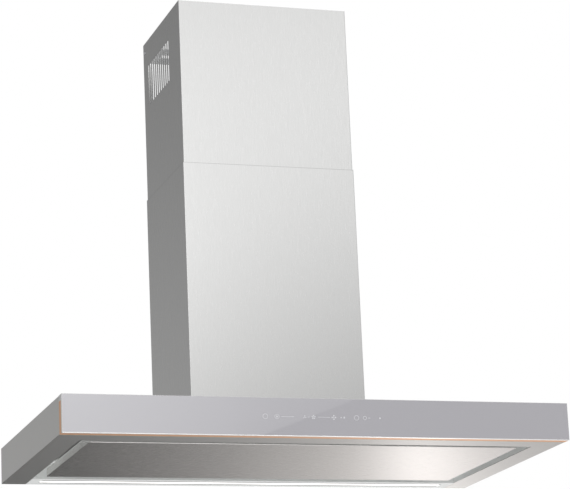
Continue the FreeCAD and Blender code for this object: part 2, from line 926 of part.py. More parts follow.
def hinge_bracket(side, sign):
    """Two ears under the recess ceiling that hold the pin."""
    outer_reach = "ear_inner + hinge_ear_sheet"
    low, high = span(sign, f"hinge_x - ({outer_reach})", f"hinge_x + ({outer_reach})")
    blank = box(
        f"bracket_blank_{side}",
        (low, "hinge_y - hinge_boss_radius", "hinge_height - hinge_boss_radius"),
        (high, "hinge_y + hinge_boss_radius", "recess_height"),
    )
    gap_low, gap_high = span(sign, "hinge_x - ear_inner", "hinge_x + ear_inner")
    gap = box(
        f"bracket_gap_{side}",
        (gap_low, "hinge_y - 2 * hinge_boss_radius", "0"),
        (gap_high, "hinge_y + 2 * hinge_boss_radius", "recess_height - hinge_ear_sheet"),
    )
    bore = rod(
        f"bracket_bore_{side}", "x", (f"{low} - overcut", "hinge_y", "hinge_height"),
        "hinge_pin_radius", f"2 * ({outer_reach}) + 2 * overcut",
    )
    return cut(f"hinge_bracket_{side}", blank, [gap, bore])


def hinge_pin(side, sign):
    reach = "ear_inner + hinge_ear_sheet"
    low = span(sign, f"hinge_x - ({reach})", f"hinge_x + ({reach})")[0]
    start = (low, "hinge_y", "hinge_height")
    return rod(f"hinge_pin_{side}", "x", start, "hinge_pin_radius", f"2 * ({reach})")


def magnet(side, sign):
    low, high = span(sign, "magnet_x - magnet_length / 2", "magnet_x + magnet_length / 2")
    return box(
        f"magnet_{side}",
        (low, "magnet_y - magnet_width / 2", "striker_height + magnet_gap"),
        (high, "magnet_y + magnet_width / 2", "recess_height"),
    )


def striker(side, sign):
    """Inverted channel on the panel whose top meets the magnet."""
    low, high = span(sign, "magnet_x - magnet_length / 2", "magnet_x + magnet_length / 2")
    outer = box(
        f"striker_outer_{side}",
        (low, "magnet_y - magnet_width / 2", "panel_sheet"),
        (high, "magnet_y + magnet_width / 2", "striker_height"),
    )
    inner = box(
        f"striker_inner_{side}",
        (f"{low} - overcut", "magnet_y - magnet_width / 2 + striker_sheet", "0"),
        (
            f"{high} + overcut",
            "magnet_y + magnet_width / 2 - striker_sheet",
            "striker_height - striker_sheet",
        ),
    )
    return cut(f"striker_{side}", outer, [inner])


def make_panel_fittings():
    keep("panel_hinge_arms", group("panel_hinge_arms", mirrored_pair(hinge_arm)))
    keep("panel_hinge_brackets", group("panel_hinge_brackets", mirrored_pair(hinge_bracket)))
    keep("panel_hinge_pins", group("panel_hinge_pins", mirrored_pair(hinge_pin)))
    keep("panel_magnets", group("panel_magnets", mirrored_pair(magnet)))
    keep("panel_strikers", group("panel_strikers", mirrored_pair(striker)))


# ---- Grease filters --------------------------------------------------------------------------


def filter_span(sign):
    return span(sign, "filter_spacing / 2", "filter_spacing / 2 + filter_width")


def make_filter(side, sign):
    low, high = filter_span(sign)
    outer = box(
        f"frame_outer_{side}", (low, "filter_front", "filter_bottom"), (
            high, "filter_rear", "recess_height"
        )
    )
    window = box(
        f"frame_window_{side}",
        (
            f"{low} + filter_frame_wall",
            "filter_front + filter_frame_wall",
            "filter_bottom - overcut",
        ),
        (
            f"{high} - filter_frame_wall",
            "filter_rear - filter_frame_wall",
            "recess_height + overcut",
        ),
    )
    bridge = box(
        f"frame_bridge_{side}",
        (f"{sign} * filter_x - latch_width / 2", "filter_front", "filter_bottom"),
        (
            f"{sign} * filter_x + latch_width / 2",
            "filter_front + latch_depth",
            "filter_bottom + filter_skin",
        ),
    )
    ring = cut(f"frame_ring_{side}", outer, [window])
    keep(f"filter_frame_{side}", join(f"filter_frame_{side}", [ring, bridge]))
    mesh = box(
        f"filter_mesh_{side}",
        (
            f"{low} + filter_frame_wall",
            "filter_front + filter_frame_wall",
            "filter_bottom + filter_skin",
        ),
        (
            f"{high} - filter_frame_wall",
            "filter_rear - filter_frame_wall",
            "recess_height - filter_skin",
        ),
    )
    keep(f"filter_mesh_{side}", mesh)
    make_latch(side, sign)


def make_latch(side, sign):
    """Sprung slider under the frame's front bar; its tongue enters a slot in the front rail."""
    centre = f"{sign} * filter_x"
    plate = box(
        f"latch_plate_{side}",
        (f"{centre} - latch_width / 2", "filter_front", "latch_bottom"),
        (f"{centre} + latch_width / 2", "filter_front + latch_depth", "latch_top"),
    )
    grip = box(
        f"latch_grip_{side}",
        (
            f"{centre} - tongue_width / 2",
            "filter_front + latch_depth - latch_sheet",
            "latch_bottom - latch_grip_drop",
        ),
        (f"{centre} + tongue_width / 2", "filter_front + latch_depth", "latch_top"),
    )
    tongue = box(
        f"latch_tongue_{side}",
        (
            f"{centre} - tongue_width / 2",
            "filter_front - rail_clearance - tongue_reach / 2",
            "latch_bottom",
        ),
        (f"{centre} + tongue_width / 2", "filter_front + overcut", "latch_top"),
    )
    slots = []
    for end in ("-", ""):
        x = f"{centre} + ({end}rivet_spacing / 2)"
        radius = "rivet_radius + rivet_clearance"
        slots.append(
            box(
                f"latch_slot_{side}_{len(slots)}",
                (
                    f"{x} - ({radius})",
                    "rivet_y - latch_travel - rivet_radius - rivet_clearance",
                    "latch_bottom - overcut",
                ),
                (
                    f"{x} + ({radius})",
                    "rivet_y + rivet_radius + rivet_clearance",
                    "latch_top + overcut",
                ),
            )
        )
    slider = join(f"latch_body_{side}", [plate, grip, tongue])
    keep(f"filter_latch_{side}", cut(f"filter_latch_{side}", slider, slots))


def make_rivets():
    """Shouldered rivets hang the latches from the filter frames."""
    rivets = []
    for _, sign in SIDES:
        for end in ("-", ""):
            x = f"{sign} * filter_x + ({end}rivet_spacing / 2)"
            name = f"latch_rivet_{len(rivets)}"
            shank_start = (x, "rivet_y", "latch_bottom - latch_gap")
            shank = rod(
                f"{name}_shank", "z", shank_start, "rivet_radius", "latch_sheet + 2 * latch_gap"
            )
            head_start = (x, "rivet_y", "latch_bottom - latch_gap - rivet_head")
            head = rod(f"{name}_head", "z", head_start, "rivet_head_radius", "rivet_head")
            rivets.append(join(name, [shank, head]))
    keep("latch_rivets", group("latch_rivets", rivets))


def make_filter_rails():
    """Angles spot-welded under the ceiling: a lip behind and a slotted strip in front."""
    length = "filter_spacing / 2 + filter_width"
    lip_top = "filter_bottom - rail_clearance / 2"
    back = box(
        "rail_rear_web",
        (f"-({length})", "filter_rear + rail_clearance", f"{lip_top} - rail_sheet"),
        (length, "filter_rear + rail_clearance + rail_sheet", "recess_height"),
    )
    lip = box(
        "rail_rear_lip",
        (f"-({length})", "filter_rear - rail_lip", f"{lip_top} - rail_sheet"),
        (length, "filter_rear + rail_clearance + rail_sheet", lip_top),
    )
    keep("filter_rear_rail", join("filter_rear_rail", [back, lip]))
    front = box(
        "rail_front_web",
        (
            f"-({length})",
            "filter_front - rail_clearance - rail_sheet",
            "latch_bottom - 2 * rail_clearance",
        ),
        (length, "filter_front - rail_clearance", "recess_height"),
    )
    slots = []
    for _, sign in SIDES:
        slots.append(
            box(
                f"rail_front_slot_{len(slots)}",
                (
                    f"{sign} * filter_x - tongue_width / 2 - rail_clearance",
                    "filter_front - rail_clearance - rail_sheet - overcut",
                    "latch_bottom - rail_clearance / 2",
                ),
                (
                    f"{sign} * filter_x + tongue_width / 2 + rail_clearance",
                    "filter_front",
                    "latch_top + rail_clearance / 2",
                ),
            )
        )
    keep("filter_front_rail", cut("filter_front_rail", front, slots))


# ---- Electrical boxes and cable gland --------------------------------------------------------


def make_electrics():
    low = ("box_side - box_width", "fan_y - control_box_length", "ceiling_top")
    high = ("box_side", "fan_y", "box_top")
    shell = box("control_shell", low, high)
    hollow = box(
        "control_hollow",
        tuple(f"{text} + box_wall" for text in low),
        ("box_side - box_wall", "fan_y - box_wall", "box_top + overcut"),
    )
    keep("control_box", cut("control_box", shell, [hollow]))
    lid_low = (low[0], low[1], high[2])
    lid_high = (high[0], high[1], f"{high[2]} + box_wall")
    keep("control_box_lid", box("control_box_lid", lid_low, lid_high))
    board_low = [f"{text} + box_wall + board_clearance" for text in low[:2]]
    board_high = [f"{text} - box_wall - board_clearance" for text in high[:2]]
    board_low.append("ceiling_top + box_wall")
    board_high.append("ceiling_top + box_wall + board_thickness")
    keep("control_board", box("control_board", board_low, board_high))
    driver = rounded_block(
        "led_driver",
        ("-box_side", "fan_y - driver_length", "ceiling_top"),
        ("-box_side + box_width", "fan_y", "box_top"),
        "panel_radius",
    )
    keep("led_driver", driver)


def make_gland():
    """Cable gland in the canopy's top, inside the chimney beside the blower box."""
    flange = rod(
        "gland_flange", "z", GLAND_PLACE + ("canopy_height",), "gland_radius", "gland_flange"
    )
    dome = rod(
        "gland_dome", "z", GLAND_PLACE + ("canopy_height",), "gland_thread_radius", "gland_height"
    )
    thread_start = GLAND_PLACE + ("canopy_height - gland_height",)
    thread = rod("gland_thread", "z", thread_start, "gland_thread_radius", "gland_height")
    bore = rod("gland_hole", "z", GLAND_PLACE + ("0",), "gland_bore", "2 * canopy_height")
    keep("cable_gland", cut("cable_gland", join("gland_body", [flange, dome, thread]), [bore]))


# ---- Blower ----------------------------------------------------------------------------------


def make_blower_box():
    """Sheet box over the canopy's opening, with feet and two wall ears."""
    outer = box(
        "tower_outer",
        ("-tower_side", "-tower_depth", "canopy_height"),
        ("tower_side", "0", "tower_top"),
    )
    pieces = [outer]
    for side, sign in SIDES:
        foot_low, foot_high = span(sign, "tower_side - overcut", "tower_side + tower_foot")
        pieces.append(
            box(
                f"tower_foot_{side}",
                (foot_low, "-tower_depth", "canopy_height"),
                (foot_high, "-tower_foot_rear", "canopy_height + tower_sheet"),
            )
        )
        ear_low, ear_high = span(sign, "tower_side - overcut", "tower_side + ear_reach")
        pieces.append(
            box(
                f"tower_ear_{side}",
                (ear_low, "-tower_sheet", "ear_bolt_height - ear_height / 2"),
                (ear_high, "0", "ear_bolt_height + ear_height / 2"),
            )
        )
    hollow = box(
        "tower_hollow",
        ("-tower_side + tower_sheet", "-tower_depth + tower_sheet", "canopy_height - overcut"),
        ("tower_side - tower_sheet", "-tower_sheet", "tower_top - tower_sheet"),
    )
    drill = "tower_sheet + 2 * overcut"
    outlet_start = ("0", "collar_y", "tower_top - tower_sheet - overcut")
    outlet = rod("tower_outlet", "z", outlet_start, "collar_bore", drill)
    tools = [hollow, outlet]
    for side, sign in SIDES:
        start = (
            f"{sign} * (tower_side + ear_bolt_inset)", "-tower_sheet - overcut", "ear_bolt_height"
        )
        tools.append(rod(f"tower_ear_hole_{side}", "y", start, "ear_bolt_radius", drill))
    for number, (x, y) in enumerate(tower_foot_places()):
        start = (x, y, "canopy_height / 2")
        tools.append(rod(f"tower_foot_hole_{number}", "z", start, "screw_radius", "canopy_height"))
    keep("blower_box", cut("blower_box", join("tower_body", pieces), tools))


def tower_foot_places():
    """X and Y of the screws that hold the blower box's feet."""
    rows = ("-tower_depth + tower_foot", "-tower_foot_rear - tower_foot")
    return [(f"{sign} * (tower_side + tower_foot / 2)", y) for _, sign in SIDES for y in rows]


def cover_foot_places():
    """X and Y of the screws that hold the lower chimney cover's feet."""
    row = "flue_front + 2 * foot_flange"
    return [(f"{sign} * (flue_side - foot_flange / 2)", row) for _, sign in SIDES]


def make_tower_screws():
    screws = []
    for number, (x, y) in enumerate(tower_foot_places()):
        screws.append(
            screw(f"tower_screw_{number}", "z", (x, y, "canopy_height + tower_sheet"), -1)
        )
    keep("blower_box_screws", group("blower_box_screws", screws))


def scroll_path():
    """Three quarter arcs of growing radius, then a straight run up to the outlet.

    The centres step round a square whose side is the growth, so each arc meets the next in line.
    """
    middle_y = value("fan_y")
    middle_z = value("fan_height")
    shift = value("scroll_shift")
    radius = value("scroll_first")
    growth = value("scroll_growth")
    centres = [(-shift, -shift), (shift, -shift), (shift, shift)]
    edges = []
    for quarter, (dy, dz) in enumerate(centres):
        reach = radius + growth * quarter
        points = []
        for part_turn in (0, 0.5, 1):
            angle = math.pi / 2 * (1 + quarter + part_turn)
            y = middle_y + dy + reach * math.cos(angle)
            z = middle_z + dz + reach * math.sin(angle)
            points.append(FreeCAD.Vector(-value("scroll_half_width"), y, z))
        edges.append(Part.Arc(*points).toShape())
    end = points[-1]
    edges.append(Part.LineSegment(end, FreeCAD.Vector(end.x, end.y, value("scroll_top"))).toShape())
    return edges, edges[0].Vertexes[0].Point


def make_scroll():
    edges, tongue = scroll_path()
    top = FreeCAD.Vector(tongue.x, tongue.y, value("scroll_top"))
    wall_line = Part.Wire([Part.LineSegment(top, tongue).toShape()] + edges)
    outline = wall_line.makeOffset2D(value("scroll_sheet"), openResult=True, fill=True)
    scroll = doc.addObject("Part::Feature", "scroll_wall")
    scroll.Shape = outline.extrude(FreeCAD.Vector(2 * value("scroll_half_width"), 0, 0))
    keep("scroll_wall", scroll)
    for side, sign in SIDES:
        low, high = span(sign, "scroll_half_width", "side_outer")
        disc = rod(
            f"side_disc_{side}",
            "x",
            (low, "fan_y", "fan_height"),
            "scroll_plate",
            "scroll_side_sheet",
        )
        chute = box(
            f"side_chute_{side}",
            (low, "fan_y - scroll_shift - scroll_rim", "fan_height"),
            (high, "scroll_rear + scroll_rim", "scroll_top"),
        )
        hole_start = (f"{low} - overcut", "fan_y", "fan_height")
        drill = "scroll_side_sheet + 2 * overcut"
        hole = rod(f"side_hole_{side}", "x", hole_start, "inlet_radius", drill)
        plate = join(f"side_body_{side}", [disc, chute])
        keep(f"scroll_side_{side}", cut(f"scroll_side_{side}", plate, [hole]))
        make_inlet_ring(side, sign)


def make_inlet_ring(side, sign):
    """Flared lip around the inlet: a ring with its inner mouth opened by a cone."""
    low, high = span(sign, "side_outer", "side_outer + inlet_lip")
    ring = rod(
        f"inlet_blank_{side}",
        "x",
        (low, "fan_y", "fan_height"),
        "inlet_radius + inlet_lip",
        "inlet_lip",
    )
    mouth = doc.addObject("Part::Cone", f"inlet_mouth_{side}")
    bind(
        mouth, "Radius1", "inlet_radius" if sign == "1" else "inlet_radius + inlet_lip - inlet_edge"
    )
    bind(
        mouth, "Radius2", "inlet_radius + inlet_lip - inlet_edge" if sign == "1" else "inlet_radius"
    )
    bind(mouth, "Height", "inlet_lip")
    mouth.Placement.Rotation = AXIS_TURNS["x"]
    move(mouth, (low, "fan_y", "fan_height"))
    keep(f"inlet_ring_{side}", cut(f"inlet_ring_{side}", ring, [mouth]))


def make_transition():
    """Duct that turns the scroll's rectangular outlet into the round collar."""

    def loft(wall):
        half_x = value("scroll_half_width") - wall
        front = value("fan_y - scroll_shift") + wall
        rear = value("scroll_rear") - wall
        base = value("scroll_top")
        corners = [(-half_x, front), (half_x, front), (half_x, rear), (-half_x, rear)]
        points = [FreeCAD.Vector(x, y, base) for x, y in corners]
        lower = Part.makePolygon(points + points[:1])
        middle = FreeCAD.Vector(0, value("collar_y"), value("tower_top - tower_sheet"))
        radius = value("collar_bore") - wall
        upper = Part.Wire([Part.makeCircle(radius, middle)])
        return Part.makeLoft([lower, upper], True, True)

    duct = doc.addObject("Part::Feature", "outlet_transition")
    duct.Shape = loft(0).cut(loft(value("scroll_sheet")))
    keep("outlet_transition", duct)


def make_motor():
    """Motor body turned about the fan's axis, bored for its shaft."""
    start = "motor_start"
    end = "motor_start + motor_length"
    body = turned(
        "fan_motor",
        "XZ_Plane",
        [
            (start, "shaft_radius + pin_clearance"),
            (end, "shaft_radius + pin_clearance"),
            (end, "motor_radius - motor_chamfer"),
            (f"{end} - motor_chamfer", "motor_radius"),
            (f"{start} + motor_chamfer", "motor_radius"),
            (start, "motor_radius - motor_chamfer"),
        ],
        "X_Axis",
    )
    bind(body, "Placement.Base.y", "fan_y")
    bind(body, "Placement.Base.z", "fan_height")
    keep("fan_motor", body)

    plate_low = "motor_start + motor_length"
    hub = rod(
        "bracket_hub",
        "x",
        (plate_low, "fan_y", "fan_height"),
        "motor_radius - bracket_hub_inset",
        "bracket_sheet",
    )
    arms = [hub]
    for number in range(MOTOR_ARMS):
        angle = 360 / MOTOR_ARMS * number + 90
        arms.append(bracket_arm(number, angle, plate_low))
    keep("motor_bracket", join("motor_bracket", arms))


def bracket_arm(number, angle, plate_low):
    """A flat arm out from the motor's end and a leg back to the scroll's side."""
    arm = doc.addObject("Part::Box", f"bracket_arm_{number}")
    leg = doc.addObject("Part::Box", f"bracket_leg_{number}")
    bind(arm, "Length", "bracket_sheet")
    bind(arm, "Width", "bracket_foot_radius + bracket_sheet")
    bind(arm, "Height", "bracket_arm")
    bind(leg, "Length", f"{plate_low} + bracket_sheet - side_outer")
    bind(leg, "Width", "bracket_sheet")
    bind(leg, "Height", "bracket_arm")
    turn = FreeCAD.Rotation(FreeCAD.Vector(1, 0, 0), angle)
    cosine = f"{math.cos(math.radians(angle)):.9f}"
    sine = f"{math.sin(math.radians(angle)):.9f}"
    for item, x, out in ((arm, plate_low, "0"), (leg, "side_outer", "bracket_foot_radius")):
        item.Placement.Rotation = turn
        y = f"fan_y + {cosine} * {out} + {sine} * bracket_arm / 2"
        z = f"fan_height + {sine} * {out} - {cosine} * bracket_arm / 2"
        move(item, (x, y, z))
    return join(f"bracket_limb_{number}", [arm, leg])


def make_impeller():
    """Squirrel-cage wheel: hub, centre disc, blades right across and two end rings."""
    place = ("fan_y", "fan_height")
    disc = rod(
        "wheel_disc", "x", ("-impeller_disc / 2",) + place, "impeller_radius", "impeller_disc"
    )
    hub = rod("wheel_hub", "x", ("-hub_half_length",) + place, "hub_radius", "2 * hub_half_length")
    pieces = [disc, hub]
    for side, sign in SIDES:
        low = span(sign, "impeller_half_width - blade_ring", "impeller_half_width")[0]
        outer = rod(f"wheel_ring_{side}", "x", (low,) + place, "impeller_radius", "blade_ring")
        inner = rod(
            f"wheel_eye_{side}", "x", (low,) + place, "impeller_radius - blade_depth", "blade_ring"
        )
        pieces.append(cut(f"wheel_rim_{side}", outer, [inner]))
    for number in range(BLADE_COUNT):
        blade = doc.addObject("Part::Box", f"wheel_blade_{number}")
        angle = 360 / BLADE_COUNT * number
        bind(blade, "Length", "2 * impeller_half_width")
        bind(blade, "Width", "blade_depth - 2 * blade_inset")
        bind(blade, "Height", "blade_sheet")
        blade.Placement.Rotation = FreeCAD.Rotation(FreeCAD.Vector(1, 0, 0), angle)
        out = "impeller_radius - blade_depth + blade_inset"
        y = f"fan_y + {math.cos(math.radians(angle)):.9f} * ({out})"
        z = f"fan_height + {math.sin(math.radians(angle)):.9f} * ({out})"
        move(blade, ("-impeller_half_width", y, z))
        pieces.append(blade)
    bore = rod(
        "wheel_bore", "x", ("-2 * hub_half_length",) + place, "shaft_radius", "4 * hub_half_length"
    )
    keep("impeller", cut("impeller", join("wheel_body", pieces), [bore]))
    shaft_length = "shaft_left + shaft_right"
    keep(
        "motor_shaft",
        rod("motor_shaft", "x", ("-shaft_left",) + place, "shaft_radius", shaft_length),
    )


# ---- Outlet collar and damper ----------------------------------------------------------------


def make_collar():
    """Spigot for the duct, with a ledge that the closed flaps lie over."""
    place = ("0", "collar_y")
    spigot = rod("collar_spigot", "z", place + ("tower_top",), "collar_radius", "collar_height")
    flange = rod(
        "collar_flange_disc",
        "z",
        place + ("tower_top",),
        "collar_radius + collar_flange",
        "collar_wall",
    )
    trim = box(
        "collar_rear_trim",
        ("-flue_side", "-tower_sheet", "tower_top - overcut"),
        ("flue_side", "flue_depth", "tower_top + 2 * collar_height"),
    )
    below = "flap_height - flap_sheet / 2 - flap_stop_gap"
    throat_start = place + ("tower_top - overcut",)
    throat = rod(
        "collar_throat", "z", throat_start, "collar_bore", f"{below} - collar_wall + overcut"
    )
    eye = rod(
        "collar_eye", "z", place + ("tower_top",), "collar_bore - flap_stop_depth", "collar_height"
    )
    mouth = rod(
        "collar_mouth", "z", place + (f"tower_top + {below}",), "collar_bore", "collar_height"
    )
    holes = []
    for side, sign in (("front", "-"), ("rear", "")):
        start = ("-collar_radius - overcut", f"collar_y + ({sign}flap_pin_offset)", "flap_z")
        holes.append(
            rod(
                f"collar_pin_hole_{side}",
                "x",
                start,
                "flap_pin_radius",
                "2 * collar_radius + 2 * overcut",
            ),
        )
    tools = [trim, throat, eye, mouth] + holes
    keep("outlet_collar", cut("outlet_collar", join("collar_body", [spigot, flange]), tools))

    pins = []
    for side, sign in (("front", "-"), ("rear", "")):
        start = (
            "-collar_radius + collar_wall / 2", f"collar_y + ({sign}flap_pin_offset)", "flap_z"
        )
        pins.append(
            rod(
                f"flap_pin_{side}", "x", start, "flap_pin_radius", "2 * collar_radius - collar_wall"
            ),
        )
        make_flap(side, sign)
    keep("damper_pins", group("damper_pins", pins))


def make_flap(side, sign):
    """Half disc with a barrel that turns on its pin."""
    reach = "collar_bore - flap_clearance"
    disc = rod(
        f"flap_disc_{side}", "z", ("0", "collar_y", "flap_z - flap_sheet / 2"), reach, "flap_sheet"
    )
    front, rear = "collar_y - flap_pin_offset", "collar_y + collar_radius"
    if side == "rear":
        front, rear = "collar_y - collar_radius", "collar_y + flap_pin_offset"
    away = box(
        f"flap_half_{side}",
        ("-collar_radius", front, "flap_z - collar_radius"),
        ("collar_radius", rear, "flap_z + collar_radius"),
    )
    y = f"collar_y + ({sign}flap_pin_offset)"
    barrel_half = "collar_bore - flap_barrel_clearance"
    barrel_start = (f"-({barrel_half})", y, "flap_z")
    barrel = rod(
        f"flap_barrel_{side}", "x", barrel_start, "flap_barrel_radius", f"2 * ({barrel_half})"
    )
    half = cut(f"flap_plate_{side}", disc, [away])
    bore_start = ("-collar_radius", y, "flap_z")
    bore_radius = "flap_pin_radius + pin_clearance"
    bore = rod(f"flap_bore_{side}", "x", bore_start, bore_radius, "2 * collar_radius")
    flap = join(f"flap_body_{side}", [half, barrel])
    keep(f"damper_flap_{side}", cut(f"damper_flap_{side}", flap, [bore]))


# ---- Chimney covers --------------------------------------------------------------------------


def cover_shell(name, side, front, rear, bottom, top):
    """A U of thin sheet, open behind, with two narrow flanges turned in along the wall."""
    outer = rounded_block(
        f"{name}_outer", (f"-({side})", front, bottom), (side, rear, top), "flue_bend"
    )
    inner = box(
        f"{name}_inner",
        (f"flue_sheet - ({side})", f"{front} + flue_sheet", f"{bottom} - overcut"),
        (f"{side} - flue_sheet", f"{rear} - flue_sheet", f"{top} + overcut"),
    )
    gap = box(
        f"{name}_gap",
        (f"flue_flange - ({side})", f"{rear} - 2 * flue_sheet", f"{bottom} - overcut"),
        (f"{side} - flue_flange", f"{rear} + overcut", f"{top} + overcut"),
    )
    return cut(f"{name}_sheet", outer, [inner, gap])


def make_lower_cover():
    shell = cover_shell("lower_cover", "flue_side", "flue_front", "0", "canopy_height", "flue_top")
    feet = []
    for side, sign in SIDES:
        low, high = span(sign, "flue_side - foot_flange", "flue_side - flue_sheet / 2")
        feet.append(
            box(
                f"cover_foot_{side}",
                (low, "flue_front + foot_flange", "canopy_height"),
                (high, "flue_front + 3 * foot_flange", "canopy_height + flue_sheet"),
            )
        )
    drills = []
    screws = []
    for number, (x, y) in enumerate(cover_foot_places()):
        start = (x, y, "canopy_height / 2")
        drills.append(rod(f"cover_foot_hole_{number}", "z", start, "screw_radius", "canopy_height"))
        screws.append(screw(f"flue_screw_{number}", "z", (x, y, "canopy_height + flue_sheet"), -1))
    keep(
        "lower_flue_cover",
        cut("lower_flue_cover", join("lower_cover_body", [shell] + feet), drills),
    )
    keep("lower_flue_screws", group("lower_flue_screws", screws))


def make_upper_cover():
    shell = cover_shell(
        "upper_cover", "upper_side", "upper_front", "upper_rear", "upper_bottom", "upper_top"
    )
    tools = []
    for number in range(VENT_COUNT):
        middle = f"-vent_rear - {number} * vent_pitch"
        tools.append(
            box(
                f"vent_slot_{number}",
                ("-flue_side", f"{middle} - vent_slot / 2", "vent_top - vent_height"),
                ("flue_side", f"{middle} + vent_slot / 2", "vent_top"),
            )
        )
    for side, sign in SIDES:
        low, high = span(sign, "upper_side - flue_flange - overcut", "upper_side - flue_sheet")
        tools.append(
            box(
                f"tie_notch_{side}",
                (low, "upper_rear - 2 * flue_sheet", "tie_low - tie_notch"),
                (high, "overcut", "upper_top + overcut"),
            )
        )
    hole_start = ("-flue_side", "-tie_screw_from_wall", "tie_middle")
    tools.append(rod("cover_tie_hole", "x", hole_start, "screw_radius", "flue_width"))
    keep("upper_flue_cover", cut("upper_flue_cover", shell, tools))


def make_tie_bracket():
    """Wall bracket inside the upper cover's top, with ears that the side screws enter."""
    outer = box(
        "tie_outer",
        ("-upper_side + flue_sheet", "-tie_ear_depth", "tie_low"),
        ("upper_side - flue_sheet", "0", "tie_low + tie_height"),
    )
    inner = box(
        "tie_inner",
        ("-upper_side + flue_sheet + tie_sheet", "-tie_ear_depth - overcut", "tie_low - overcut"),
        ("upper_side - flue_sheet - tie_sheet", "-tie_sheet", "upper_top + overcut"),
    )
    tools = [inner]
    for side, sign in (("left", "-"), ("right", "")):
        x = f"({sign}tie_slot_x)"
        half = "tie_slot_length / 2 - tie_slot_radius"
        tools.append(
            box(
                f"tie_slot_{side}",
                (f"{x} - ({half})", "-tie_sheet - overcut", "tie_middle - tie_slot_radius"),
                (f"{x} + ({half})", "overcut", "tie_middle + tie_slot_radius"),
            )
        )
        for end in ("-1", "1"):
            start = (f"{x} + {end} * ({half})", "-tie_sheet - overcut", "tie_middle")
            name = f"tie_slot_end_{side}_{len(tools)}"
            tools.append(rod(name, "y", start, "tie_slot_radius", "tie_sheet + 2 * overcut"))
    hole_start = ("-flue_side", "-tie_screw_from_wall", "tie_middle")
    tools.append(rod("tie_screw_hole", "x", hole_start, "screw_radius", "flue_width"))
    keep("flue_wall_bracket", cut("flue_wall_bracket", outer, tools))
    left = screw("tie_screw_left", "x", ("-upper_side", "-tie_screw_from_wall", "tie_middle"), 1)
    right = screw("tie_screw_right", "x", ("upper_side", "-tie_screw_from_wall", "tie_middle"), -1)
    keep("flue_bracket_screws", group("flue_bracket_screws", [left, right]))


# ---- Build, check and write ------------------------------------------------------------------


def main():
    make_canopy()
    make_wall_plate()
    make_recess_pan()
    make_front_glass()
    make_trim()
    make_carrier()
    make_icons()
    make_light_bar()
    make_panel()
    make_panel_fittings()
    for side, sign in SIDES:
        make_filter(side, sign)
    make_rivets()
    make_filter_rails()
    make_electrics()
    make_gland()
    make_blower_box()
    make_tower_screws()
    make_scroll()
    make_transition()
    make_motor()
    make_impeller()
    make_collar()
    make_lower_cover()
    make_upper_cover()
    make_tie_bracket()
    doc.recompute()
    check_and_write()


def check_and_write():
    for item in doc.Objects:
        if {"Invalid", "Error"} & set(item.State):
            raise RuntimeError(f"{item.Name} failed: {item.State}")
    os.makedirs("parts", exist_ok=True)
    for label, item in nodes.items():
        shape = item.Shape
        if shape.isNull() or not shape.isValid() or not shape.Solids:
            raise RuntimeError(f"{label} has no valid solid")
        shape.exportStep(f"parts/{label}.step")
        print(f"{label}: {len(shape.Solids)} solid(s), {shape.Volume / 1000:.1f} cm3")


main()
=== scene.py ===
# %% [markdown]
# # A wall-mounted chimney hood
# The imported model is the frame: every sheet, hinge and duct is already at its real size and place.
# This script gives each of them its finish, and adds the small pieces that are easier to make as
# meshes than as solids: expanded filter mesh, and screws with a recess and a thread.

import json
import math

import bpy
import numpy as np
from mathutils import Matrix, Vector


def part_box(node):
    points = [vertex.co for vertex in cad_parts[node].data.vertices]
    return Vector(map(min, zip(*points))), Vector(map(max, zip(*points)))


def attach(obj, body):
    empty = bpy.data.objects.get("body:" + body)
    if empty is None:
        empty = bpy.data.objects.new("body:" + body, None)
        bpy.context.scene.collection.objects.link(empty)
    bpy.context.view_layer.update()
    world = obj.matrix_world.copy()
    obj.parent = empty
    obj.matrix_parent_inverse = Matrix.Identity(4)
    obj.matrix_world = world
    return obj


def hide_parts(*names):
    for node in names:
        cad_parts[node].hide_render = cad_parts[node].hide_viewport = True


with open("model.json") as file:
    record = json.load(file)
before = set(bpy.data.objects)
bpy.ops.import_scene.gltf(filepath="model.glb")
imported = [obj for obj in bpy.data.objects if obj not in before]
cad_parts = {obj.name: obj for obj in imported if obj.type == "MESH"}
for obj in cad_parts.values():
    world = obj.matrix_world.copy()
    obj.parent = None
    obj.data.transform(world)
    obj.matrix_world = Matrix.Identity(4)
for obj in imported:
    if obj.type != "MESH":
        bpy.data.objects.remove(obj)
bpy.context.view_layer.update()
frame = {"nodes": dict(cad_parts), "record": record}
nodes = frame["nodes"]


# %% [markdown]
# ## Materials as small node trees
# A finish is a Principled shader whose base colour, roughness and bump come from noise. The noise
# reads Object coordinates, which are metres on every piece here, so a grain of a given size stays
# that size on every sheet. The helpers below only save typing: one adds a node, one links.

# %% Helpers for node trees
MM = 0.001
FLAT_COSINE = 0.995  # between the rounded normal and the true one: no edge near
EDGE_COSINE = 0.9  # the same on an edge
# patch size of the edges' wear and painted highlight
WORN_AND_HIGHLIT_PATCH = 15 * MM


def shade(color, factor):
    """The colour times factor, with no channel above 1."""
    return tuple(min(1.0, channel * factor) for channel in color)


